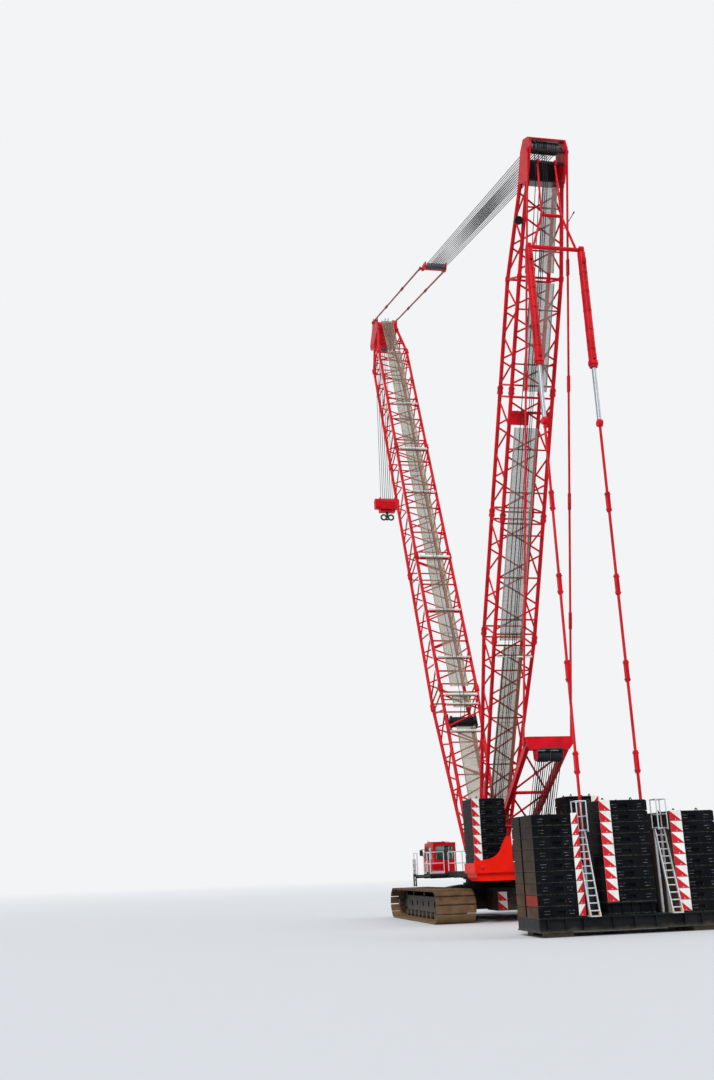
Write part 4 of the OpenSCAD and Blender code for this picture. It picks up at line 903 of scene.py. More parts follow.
@dataclass(frozen=True)
class Stay:
    """Place of the rope band and the pendants between the mast's and the boom's heads.

    Attributes:
        start: Centre of the mast head's sheaves.
        angle: Rise towards the boom's head in degrees.
        equaliser: Distance from the start to the equaliser's sheaves.
    """

    start: Point = (-8.03234, 0.0, 18.23174)
    angle: float = 15.515
    equaliser: float = 10.5

    @classmethod
    def along(cls) -> Triple:
        """Gives the direction from the mast's head to the boom's."""
        turn = math.radians(cls.angle)
        return (math.cos(turn), 0.0, math.sin(turn))


@dataclass(frozen=True)
class Hoist:
    """Place of the hoist falls and of the sheave axles that they run over.

    Attributes:
        x: Place of the falls along the crane.
        head_z: Height of the head sheaves' axle.
        block_z: Height of the hook block's shaft.
        sheave_r: Radius of a fall round its sheave.
    """

    x: float = 11.29707
    head_z: float = 22.59053
    block_z: float = 15.6
    sheave_r: float = 0.187


# Studio and paint


@dataclass
class Studio:
    """Camera, lamps, floor and world.

    Attributes:
        eye: Place of the camera.
        yaw: Direction of its view over the ground in degrees from X.
        pitch: How far it looks up, in degrees.
        roll: How far it is rolled, in degrees.
        focal_px: Focal length in pixels of the photograph.
        long_side_px: Height of the photograph in pixels.
        floor_m: Half the width of the floor.
        floor_z: Height of the floor, just under the tracks.
        fade_m: Distances between which the floor fades into the background.
        horizon: Colour of the background, sRGB hex.
        sky: Colour of the light from above, sRGB hex.
    """

    eye: Point = (-29.249, 9.170, 1.4175)
    yaw: float = -10.992
    pitch: float = 16.944
    roll: float = -2.084
    focal_px: float = 1071.54
    long_side_px: float = 1080.0
    floor_m: float = 260.0
    floor_z: float = -0.0005
    fade_m: Pair = (22.0, 90.0)
    horizon: str = "#F3F4F5"
    sky: str = "#BFC6CE"

    def camera(self) -> None:
        """Sets the camera that was worked out from the photograph."""
        yaw, pitch, roll = (math.radians(a) for a in (self.yaw, self.pitch, self.roll))
        ahead = Vector((math.cos(yaw) * math.cos(pitch), math.sin(yaw) * math.cos(pitch), math.sin(pitch)))
        side = ahead.cross(Vector((0, 0, 1))).normalized()
        rise = side.cross(ahead)
        right = math.cos(roll) * side + math.sin(roll) * rise
        up = -math.sin(roll) * side + math.cos(roll) * rise
        data = bpy.data.cameras.new("Camera")
        data.sensor_width = 36.0
        data.lens = self.focal_px * data.sensor_width / self.long_side_px
        data.clip_end = 2000.0
        eye = bpy.data.objects.new("Camera", data)
        turned = Matrix((right, up, -ahead)).transposed().to_4x4()
        eye.matrix_world = Matrix.Translation(Vector(self.eye)) @ turned
        bpy.context.scene.collection.objects.link(eye)
        bpy.context.scene.camera = eye

    def lamp(self, name: str, towards: Point, strength: float, angle: float) -> None:
        """Adds a soft sun lamp.

        Args:
            name: Name of the lamp.
            towards: Direction in which its light goes.
            strength: Strength of the lamp.
            angle: Apparent size in degrees, large for a soft light.
        """
        data = bpy.data.lights.new(name, "SUN")
        data.energy = strength
        data.angle = math.radians(angle)
        lamp = bpy.data.objects.new(name, data)
        lamp.rotation_mode = "QUATERNION"
        lamp.rotation_quaternion = Vector(towards).to_track_quat("-Z", "Y")
        bpy.context.scene.collection.objects.link(lamp)

    def pale_to_eye(self, tree: Tree) -> Socket:
        """Gives 1 for rays from the eye, a mirror or through glass, else 0.

        Args:
            tree: Node tree of the world or of a material.

        Returns:
            Socket with the 1 or 0.
        """
        path = add_node(tree, "LightPath")
        seen = add_node(tree, "Math", {0: path.outputs["Is Camera Ray"], 1: path.outputs["Is Glossy Ray"]},
                        operation="ADD")
        both = add_node(tree, "Math", {0: seen, 1: path.outputs["Is Transmission Ray"]}, operation="ADD",
                        use_clamp=True)
        return both.outputs[0]

    def world(self) -> None:
        """Lights the scene evenly and shows a pale background to the eye."""
        world = bpy.data.worlds.new("Overcast studio")
        world.use_nodes = True
        bpy.context.scene.world = world
        tree = world.node_tree
        shader = tree.nodes["Background"]
        shade = add_node(tree, "Mix",
                         {SHARE: self.pale_to_eye(tree), UNDER: linear(self.sky), OVER: linear(self.horizon)},
                         data_type="RGBA")
        tree.links.new(shade.outputs[MIXED], shader.inputs["Color"])
        shader.inputs["Strength"].default_value = 1.0

    def floor(self) -> None:
        """Lays the plain pale floor that carries the crane's shadow."""
        square = ((-1, -1), (1, -1), (1, 1), (-1, 1))
        corners = [(x * self.floor_m, y * self.floor_m, self.floor_z) for x, y in square]
        mesh = bpy.data.meshes.new("Floor")
        mesh.from_pydata(corners, [], [(0, 1, 2, 3)])
        material = bpy.data.materials.new("Pale studio floor")
        material.use_nodes = True
        tree = material.node_tree
        shader = tree.nodes["Principled BSDF"]
        shader.inputs["Roughness"].default_value = 0.9
        shader.inputs["Base Color"].default_value = linear("#D8D9DA")
        place = add_node(tree, "TexCoord").outputs["Object"]
        far = add_node(tree, "VectorMath", {0: place}, operation="LENGTH")
        start, end = self.fade_m
        fade = add_node(tree, "MapRange", {"Value": far.outputs["Value"], "From Min": start, "From Max": end})
        away = add_node(tree, "Math", {0: fade, 1: self.pale_to_eye(tree)}, operation="MULTIPLY")
        glow = add_node(tree, "Emission", {"Color": linear(self.horizon)})
        blend = add_node(tree, "MixShader", {0: away, 1: shader, 2: glow})
        tree.links.new(blend.outputs[0], tree.nodes["Material Output"].inputs["Surface"])
        mesh.materials.append(material)
        floor = bpy.data.objects.new("Floor", mesh)
        bpy.context.scene.collection.objects.link(floor)

    def build(self) -> None:
        """Sets up the whole studio."""
        bpy.context.scene.view_settings.view_transform = "Standard"
        self.camera()
        self.lamp("Key lamp", (0.75, -0.42, -0.72), 1.9, 18)
        self.lamp("Fill lamp", (0.3, 0.85, -0.5), 0.6, 40)
        self.world()
        self.floor()


@dataclass
class PaintShop:
    """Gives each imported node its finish.

    Attributes:
        finishes: Finish of each node by its name; every other node is crane red.
    """

    finishes: dict[str, Finish] = field(
        default_factory=lambda: {name: finish for finish, names in FINISH_NODES for name in names})

    def paint(self, nodes: dict[str, Piece]) -> None:
        """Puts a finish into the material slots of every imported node.

        Args:
            nodes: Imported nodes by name.
        """
        for name, node in nodes.items():
            material = self.finishes.get(name, CRANE_RED).build()
            if not node.material_slots:
                node.data.materials.append(material)
            for slot in node.material_slots:
                slot.material = material
        LOG.info("painted %d nodes", len(nodes))


# Sub-assemblies


@dataclass(frozen=True)
class Run:
    """One straight stretch of a grating walkway on a lattice's rear face.

    Attributes:
        low: Place of the rear chords' axes at its start, x and z in the lattice's directions.
        high: The same at its end.
        width: Width over the edge rails' axes.
        y: Sideways place of its middle.
        bearers: Length of the cross bearers at its start and end.
        lift: Height of packing under the bearers.
        rollers: Place along the run and diameter of each rope roller.
    """

    low: Pair
    high: Pair
    width: float
    y: float
    bearers: Pair
    lift: float = 0.0
    rollers: tuple[Pair, ...] = ()

    @property
    def length(self) -> float:
        """Length of the run."""
        return math.dist(self.low, self.high)

    def bearer(self, along: float) -> float:
        """Length of a cross bearer at that place along the run."""
        return self.bearers[0] + (self.bearers[1] - self.bearers[0]) * along / self.length

    def place(self, frame: Place, chord: float) -> Place:
        """Gives a function from the run's own directions to the model's frame.

        Args:
            frame: Turns the lattice's own directions into the model's frame.
            chord: Diameter of the chords that the bearers rest on.

        Returns:
            Function of out, across and along, in metres; out is negative away from the lattice.
        """
        dx, dz = ((self.high[i] - self.low[i]) / self.length for i in (0, 1))

        def at(out: float, across: float, along: float) -> Vector:
            """Gives a place by its distance out of the chords' plane, across and along the run."""
            off = out - chord / 2 - 0.0005
            return frame(self.low[0] + dx * along + dz * off, across, self.low[1] + dz * along - dx * off)

        return at


@dataclass
class Walkway:
    """Open grating in framed panels on cross bearers, with edge rails and rope rollers.

    Attributes:
        name: Start of the names of its pieces.
        node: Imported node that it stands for.
        body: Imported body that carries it.
        frame: Turns the lattice's own directions into the model's frame.
        chord: Diameter of the chords under it.
        runs: Its stretches.
        finish: Finish of the grating.
        bar_pitch: Distance between the bearing bars, 30 mm on the real machine.
        bar_thick: Thickness of a bearing bar, twice the real one so that it shows.
        bar_deep: Depth of a bearing bar.
        rod_pitch: Distance between the twisted cross rods.
        panel: Length of one panel.
        bearer_pitch: Distance between the cross bearers.
        rail_length: Length of one rail.
    """

    name: str
    node: str
    body: str
    frame: Place
    chord: float
    runs: tuple[Run, ...]
    finish: Finish
    bar_pitch: float = 0.0145
    bar_thick: float = 0.0045
    bar_deep: float = 0.013
    rod_pitch: float = 0.034
    panel: float = 0.98
    bearer_pitch: float = 1.18
    rail_length: float = 2.95

    def grating(self) -> None:
        """Builds the panels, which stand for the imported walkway: banding, bearing bars and cross rods."""
        mesh = MeshMaker(self.name + "_grating")
        for run in self.runs:
            at = run.place(self.frame, self.chord)
            out = direction(at, -1, 0, 0)
            count = max(1, round(run.length / self.panel))
            for i in range(count):
                low, high = run.length * i / count + 0.004, run.length * (i + 1) / count - 0.004
                deck = -0.0135 - run.lift - self.bar_deep / 2
                half = run.width / 2 - 0.012
                right, left = run.y - half, run.y + half
                for edge, end in ((right, low + 0.003), (left, high - 0.003)):
                    mesh.bar(at(deck, edge, low), at(deck, edge, high), 0.006, self.bar_deep, out)
                    mesh.bar(at(deck, right, end), at(deck, left, end), 0.006, self.bar_deep, out)
                bars = int(2 * half / self.bar_pitch)
                for k in range(1, bars):
                    y = right + 2 * half * k / bars
                    mesh.bar(at(deck, y, low), at(deck, y, high), self.bar_thick, self.bar_deep, out)
                rods = int((high - low) / self.rod_pitch)
                for k in range(1, rods):
                    z = low + (high - low) * k / rods
                    mesh.bar(at(deck - 0.003, right, z), at(deck - 0.003, left, z), 0.005, 0.005, out)
        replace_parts(mesh.piece(self.finish, self.body, smooth=False), self.node)

    def bearers(self) -> None:
        """Builds the red cross bearers with the bolts of their chord clamps."""
        mesh = MeshMaker(self.name + "_bearers")
        for run in self.runs:
            at = run.place(self.frame, self.chord)
            out = direction(at, -1, 0, 0)
            count = max(1, round(run.length / self.bearer_pitch))
            stops = [(i + 0.5) * run.length / count for i in range(count)] + [r[0] for r in run.rollers]
            for z in stops:
                half, deep = run.bearer(z) / 2, 0.015 + run.lift
                mesh.bar(at(0.002 - deep, -half, z), at(0.002 - deep, half, z), 0.04, 0.004, out)
                for s in (-1, 1):
                    leg = z + s * 0.018
                    mesh.bar(at(-deep / 2, -half, leg), at(-deep / 2, half, leg), 0.004, deep, out)
                    # saddle clamp round the chord with its two nuts
                    for k in (-1, 1):
                        mesh.bolt(at(-deep - 0.001, s * (half - 0.03) - k * 0.02, z), out, 0.013)
        mesh.piece(CRANE_RED, self.body, smooth=False)

    def rails(self) -> None:
        """Builds the channel rails along both edges."""
        mesh = MeshMaker(self.name + "_rails")
        for run in self.runs:
            at = run.place(self.frame, self.chord)
            out = direction(at, -1, 0, 0)
            for s in (-1, 1):
                edge = run.y + s * run.width / 2
                for low, high in self.lengths(run):
                    web = -0.036 - run.lift
                    mesh.bar(at(web, edge, low), at(web, edge, high), 0.004, 0.044, out)
                    for lip in (web + 0.0215, web - 0.0205):
                        y = edge - s * 0.006
                        mesh.bar(at(lip, y, low), at(lip, y, high), 0.012, 0.003, out)
        mesh.piece(self.finish, self.body, smooth=False)

    def lengths(self, run: Run) -> list[Pair]:
        """Divides a run's rail into lengths with a narrow joint between them."""
        count = max(1, round(run.length / self.rail_length))
        return [(run.length * i / count + 0.003, run.length * (i + 1) / count - 0.003) for i in range(count)]

    def rollers(self) -> None:
        """Builds the rope rollers: a barrel with end flanges on a shaft between two bracket plates."""
        mesh = MeshMaker(self.name + "_rollers")
        for run in self.runs:
            at = run.place(self.frame, self.chord)
            across = Vector(ACROSS)
            for along, size in run.rollers:
                r, half = size / 2, run.bearer(along) / 2 - 0.07
                axle = -0.072 - run.lift - r
                reach = half - 0.016
                rim = r + 0.004
                outline = [(-reach, 0.01), (-reach, rim), (0.012 - reach, rim), (0.016 - reach, r)]
                outline += [(-z, radius) for z, radius in outline[::-1]]
                mesh.lathe(at(axle, 0, along), across, outline, 14)
                for s in (-1, 1):
                    foot, tip = at(-0.015 - run.lift, s * half, along), at(axle - 0.012, s * half, along)
                    mesh.bar(foot, tip, 0.05, 0.01, across)
                    mesh.bolt(at(axle, s * (half + 0.006), along), across * s, 0.022)
        mesh.piece(WHITE_ENAMEL, self.body)

    def build(self) -> None:
        """Builds all of the walkway."""
        self.grating()
        self.bearers()
        self.rails()
        self.rollers()


def boom_walkway() -> Walkway:
    """Gives the boom's walkway in its four stretches.

    Returns:
        The walkway, not built yet.
    """
    ends = (0.9, 3.97, 4.6, 5.14)
    x = {z: -spread(z, BOOM.foot_depth, BOOM.depth, *BOOM.foot_taper) / 2 for z in ends}
    w = {z: spread(z, BOOM.foot_width, BOOM.width, *BOOM.foot_taper) for z in ends}
    rear, first = -BOOM.depth / 2, 5.304
    rollers = ((6.35, 0.04), (8.2, 0.04), (10.42, 0.08), (13.45, 0.04), (15.6, 0.08), (18.1, 0.04))
    rollers = tuple((z - first, size) for z, size in rollers)
    return Walkway("boom_walkway", "boom_catwalk", "boom", BOOM.at, BOOM.chord, (
        Run((x[0.9], 0.9), (x[3.97], 3.97), 0.56, 0, (w[0.9], w[3.97]), rollers=((2.9, 0.06),)),
        Run((x[4.6], 4.6), (x[5.14], 5.14), 0.56, 0, (w[4.6], w[5.14]), rollers=((0.09, 0.05), (0.4, 0.08))),
        Run((rear, first), (rear, 21.28), 0.56, 0, (BOOM.width, BOOM.width), 0.022, rollers),
        Run((rear, 21.36), (-0.455, 23.34), 0.46, 0, (1.12, 0.8), 0.016),
    ), GRATING_TAN)


def mast_walkway() -> Walkway:
    """Gives the mast's walkway in its four stretches, each a little to one side of the next.

    Returns:
        The walkway, not built yet.
    """
    x = {z: -spread(z, MAST.foot_depth, MAST.depth, *MAST.foot_taper) / 2 for z in (0.7, 5.94)}
    w = {z: spread(z, MAST.foot_width, MAST.width, *MAST.foot_taper) for z in (0.7, 5.94)}
    head_depth, head_width, head_taper = 0.52, 0.9, (15.3, 17.6)
    x |= {z: -spread(z, MAST.depth, head_depth, *head_taper) / 2 for z in (15.42, 17.5)}
    w |= {z: spread(z, MAST.width, head_width, *head_taper) for z in (15.42, 17.5)}
    rear, wide = -MAST.depth / 2, (MAST.width, MAST.width)
    return Walkway("mast_walkway", "mast_catwalk", "mast", MAST.at, MAST.chord, (
        Run((x[0.7], 0.7), (x[5.94], 5.94), 0.52, 0.04, (w[0.7], w[5.94]), rollers=((5.0, 0.04),)),
        Run((rear, 6.104), (rear, 11.6), 0.6, 0.13, wide, 0.02),
        Run((rear, 12.504), (rear, 15.18), 0.6, -0.03, wide, 0.02),
        Run((x[15.42], 15.42), (x[17.5], 17.5), 0.38, -0.11, (w[15.42], w[17.5])),
    ), GRATING_GREY)


@dataclass
class Reeving:
    """Running ropes: hoist falls, rope band, ropes along mast and boom, and the curtain behind the A-frame.

    Attributes:
        falls: Sideways places of the hoist falls.
        fall_r: Radius of a hoist rope.
        band: Sideways places of the band's ropes.
        band_r: Radius of a band rope.
        band_sheaves: Radius of its axis round the mast head's and the equaliser's sheaves.
        curtain: Sideways places of the ropes behind the A-frame.
        curtain_sheaves: Radius of their axes round the tail's and the A-frame's sheaves.
        mast_lines: Sideways places of the ropes along the mast.
        mast_path: Their places out of and along the mast.
        mast_sheave: Place along the mast and radius of their turn at its head.
        boom_lines: Sideways places of the hoist ropes along the boom.
        tail: Centre of the fixed sheaves at the platform's tail.
        gantry: Centre of the sheaves in the A-frame's crossbeam.
        front_drum: Centre of the hoist winch.
        rear_drum: Centre of the boom hoist winch.
        foot_drum: Place of the winch in the boom's foot: out, across and along the boom.
    """

    falls: tuple[float, ...] = (-0.2, -0.12, -0.04, 0.04, 0.12, 0.2)
    fall_r: float = 0.0095
    band: tuple[float, ...] = tuple(-0.27 + 0.06 * i for i in range(10))
    band_r: float = 0.01
    band_sheaves: Pair = (0.1436, 0.0936)
    curtain: tuple[float, ...] = tuple(s * (0.05 + i * 0.054) for s in (-1, 1) for i in range(5))
    curtain_sheaves: Pair = (0.096, 0.124)
    mast_lines: tuple[float, ...] = (0.3, 0.2, 0.1, 0.05, 0.0)
    mast_path: tuple[Point, ...] = ((-0.34, 0.86), (-0.62, 5.7), (-0.6, 6.4), (-0.6, 15.2), (-0.47, 17.6))
    mast_sheave: Pair = (18.46, 0.155)
    boom_lines: tuple[float, ...] = (0.06, -0.06)
    tail: Triple = (-3.56, 0.0, 1.76)
    gantry: Triple = (-4.8, 0.0, 3.75)
    front_drum: Triple = (-1.25, 0.0, 1.6)
    rear_drum: Triple = (-2.05, 0.0, 1.6)
    foot_drum: Triple = (-0.22, 0.0, 4.3)

    def hoist_falls(self) -> None:
        """Builds the falls, each round its sheave in the hook block, up to the boom's head."""
        mesh = MeshMaker("hoist_falls")
        for y in self.falls:
            turn = arc((Hoist.x, y, Hoist.block_z), (Hoist.sheave_r, 0, 0), (0, 0, -Hoist.sheave_r), 10)
            back = (Hoist.x - 2 * Hoist.sheave_r, y, Hoist.head_z - 0.2)
            mesh.tube([(Hoist.x, y, Hoist.head_z), *turn, back], self.fall_r, 8)
        top, low = (Hoist.x, 0, Hoist.head_z), (Hoist.x, 0, Hoist.block_z)
        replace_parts(mesh.spanning(DARK_ROPE, top, low), "hoist_ropes")

    def rope_band(self) -> None:
        """Builds the two layers of ropes between the mast head's and the equaliser's sheaves."""
        mesh = MeshMaker("rope_band_ropes")
        start = Vector(Stay.start)
        end = start + Vector(Stay.along()) * Stay.equaliser
        for y in self.band:
            side = Vector((0, y, 0))
            mesh.tube(belt(start + side, end + side, *self.band_sheaves), self.band_r, 8)
        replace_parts(mesh.spanning(DARK_ROPE, end, start), "stay_ropes")

    def mast_ropes(self) -> None:
        """Builds the dark ropes from the rear winch up the mast's rear face to its head's sheaves."""
        mesh = MeshMaker("mast_ropes")
        z, radius = self.mast_sheave
        leave, drum_r = math.radians(62), 0.189
        for y in self.mast_lines:
            off_drum = Vector((drum_r * math.sin(leave), y * 0.9, drum_r * math.cos(leave)))
            path = [Vector(self.rear_drum) + off_drum]
            path += [MAST.at(out, y, along) for out, along in self.mast_path]
            wide, tall = direction(MAST.at, -radius, 0, 0), direction(MAST.at, 0, 0, radius)
            mesh.tube(path + arc(MAST.at(0, y, z), wide, tall, 5, 15, 90), self.band_r, 6)
        mesh.spanning(DARK_ROPE, (0, 0, 1.85), (0, 0, 2.25))

    def boom_ropes(self) -> None:
        """Builds the hoist ropes from the boom foot's winch over the rollers to the head's sheaves."""
        mesh = MeshMaker("boom_ropes")
        walk = boom_walkway()
        for y in self.boom_lines:
            path = [BOOM.at(-0.38, y, 4.36)]
            for run in walk.runs[1:]:
                at = run.place(walk.frame, walk.chord)
                path += [at(-0.072 - run.lift - size - self.fall_r, y, along) for along, size in run.rollers]
            path += [BOOM.at(-0.62, y, 23.45), BOOM.at(0.86, y, 23.642)]
            mesh.tube(path, self.fall_r, 6)
        mesh.piece(WIRE_ROPE, "boom")

    def curtain_ropes(self) -> None:
        """Builds the reeving between the A-frame's crossbeam and the fixed sheaves at the platform's tail."""
        mesh = MeshMaker("gantry_ropes")
        low, high = Vector(self.tail), Vector(self.gantry)
        for y in self.curtain:
            side = Vector((0, y, 0))
            mesh.tube(belt(low + side, high + side, *self.curtain_sheaves), self.fall_r, 6)
        mesh.spanning(DARK_ROPE, low, high)

    def tail_block(self) -> None:
        """Builds the fixed sheaves at the platform's tail with their cheek plates."""
        mesh = MeshMaker("tail_sheaves")
        x, z = self.tail[0], self.tail[2]
        foot, top = 1.596, z + 0.09
        cheek = [(x - 0.09, foot), (x + 0.09, foot), (x + 0.06, z + 0.05), (x, top), (x - 0.06, z + 0.05)]
        for y in (-0.33, 0.0, 0.33):
            mesh.plate(cheek, y - 0.009, y + 0.009)
        groove = [(-0.018, 0.03), (-0.018, 0.105), (-0.01, 0.105), (-0.004, 0.09),
                  (0.004, 0.09), (0.01, 0.105), (0.018, 0.105), (0.018, 0.03)]
        for y in self.curtain:
            mesh.lathe((x, y, z), ACROSS, groove, 20)
        mesh.lathe((x, 0, z), ACROSS, [(-0.36, 0.028), (0.36, 0.028)], 16)
        for side in Side:
            mesh.bolt((x, side.value * 0.36, z), (0, side.value, 0), 0.04)
        mesh.piece(CRANE_RED, "superstructure", bevel=0.002)

    def windings(self) -> None:
        """Winds rope on the two deck winches."""
        for name, body, drum in (("hoist_winding", "hoist_winch", self.front_drum),
                                 ("mast_winding", "boom_winch", self.rear_drum)):
            mesh = MeshMaker(name)
            mesh.winding(drum, 0.272, 0.183, 0.0092)
            mesh.piece(DARK_ROPE, body)

    def foot_winch(self) -> None:
        """Builds the winch inside the boom's foot with its rope."""
        x, _, z = self.foot_drum
        centre = BOOM.at(*self.foot_drum)
        out, up = direction(BOOM.at, 1, 0, 0), direction(BOOM.at, 0, 0, 1)
        drum = MeshMaker("boom_foot_winch")
        drum.lathe(centre, ACROSS, [(-0.44, 0.05), (-0.34, 0.05), (-0.34, 0.2), (-0.315, 0.2), (-0.315, 0.14),
                                    (0.315, 0.14), (0.315, 0.2), (0.34, 0.2), (0.34, 0.05), (0.44, 0.05)], 28)
        for side in Side:
            y = side.value * 0.44
            drum.bar(BOOM.at(x, y, z - 0.2), BOOM.at(x, y, z + 0.2), 0.03, 0.3, out)
        drum.piece(FRAME_BLACK, "boom", bevel=0.003)
        rope = MeshMaker("boom_foot_winding")
        rope.winding(centre, 0.3, 0.15, self.band_r, out, up)
        rope.piece(DARK_ROPE, "boom")

    def build(self) -> None:
        """Builds all of the ropes."""
        self.hoist_falls()
        self.rope_band()
        self.mast_ropes()
        self.boom_ropes()
        self.curtain_ropes()
        self.tail_block()
        self.windings()
        self.foot_winch()


@dataclass
class HazardBoards:
    """White boards with one red triangle to each slab, on the rear edges of the ballast stacks.

    Attributes:
        pitch: Height of one slab, and so of one triangle.
        thick: Thickness of a board.
        film: How far the red film stands out of it.
        gap: Half the gap between two boards.
    """

    pitch: float = SLAB_PITCH
    thick: float = 0.004
    film: float = 0.0012
    gap: float = 0.004

    def strip(self, name: str, body: str, x: float, y: Pair, z: float, count: int) -> None:
        """Builds one board of stacked panels.

        Args:
            name: Name of the pieces.
            body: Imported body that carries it.
            x: Place of its rear face.
            y: Sideways places of the triangles' right angle and of their point.
            z: Height of its lower edge.
            count: Number of panels.
        """
        white, red = MeshMaker(name + "_white"), MeshMaker(name + "_red")
        low, high = min(y), max(y)
        for i in range(count):
            base = z + i * self.pitch
            white.box((x, low, base + self.gap), (x + self.thick, high, base + self.pitch - self.gap))
            foot, tip = base + self.gap + 0.002, base + self.pitch - self.gap - 0.002
            face = x - self.film
            red.prism([(face, y[0], foot), (face, y[1], foot), (face, y[0], tip)], Vector((self.film, 0, 0)))
            for k in (0.12, 0.88):
                white.bolt((x, low + (high - low) * 0.5, base + self.pitch * k), (-1, 0, 0), 0.014)
        white.piece(BOARD_WHITE, body, smooth=False)
        red.piece(BOARD_RED, body, smooth=False)

    def build(self) -> None:
        """Builds the boards on the platform's stacks, the tray's stacks and the car body."""
        for side in (Side.LEFT, Side.RIGHT):
            across = (side.value * 1.631, side.value * 1.437)
            self.strip(f"deck_board_{side.label}", "superstructure", -3.6455, across, 1.404, 7)
        self.strip("car_board", "undercarriage", -2.256, (0.68, 0.45), 0.27, 2)
        self.strip("tray_board_left", "superlift_tray", -8.676, (0.97, 1.11), 0.37, 9)
        self.strip("tray_board_middle", "superlift_tray", -8.676, (0.505, 0.27), 0.6, 9)
        self.strip("tray_board_right", "superlift_tray", -8.676, (-0.97, -1.22), 0.37, 9)


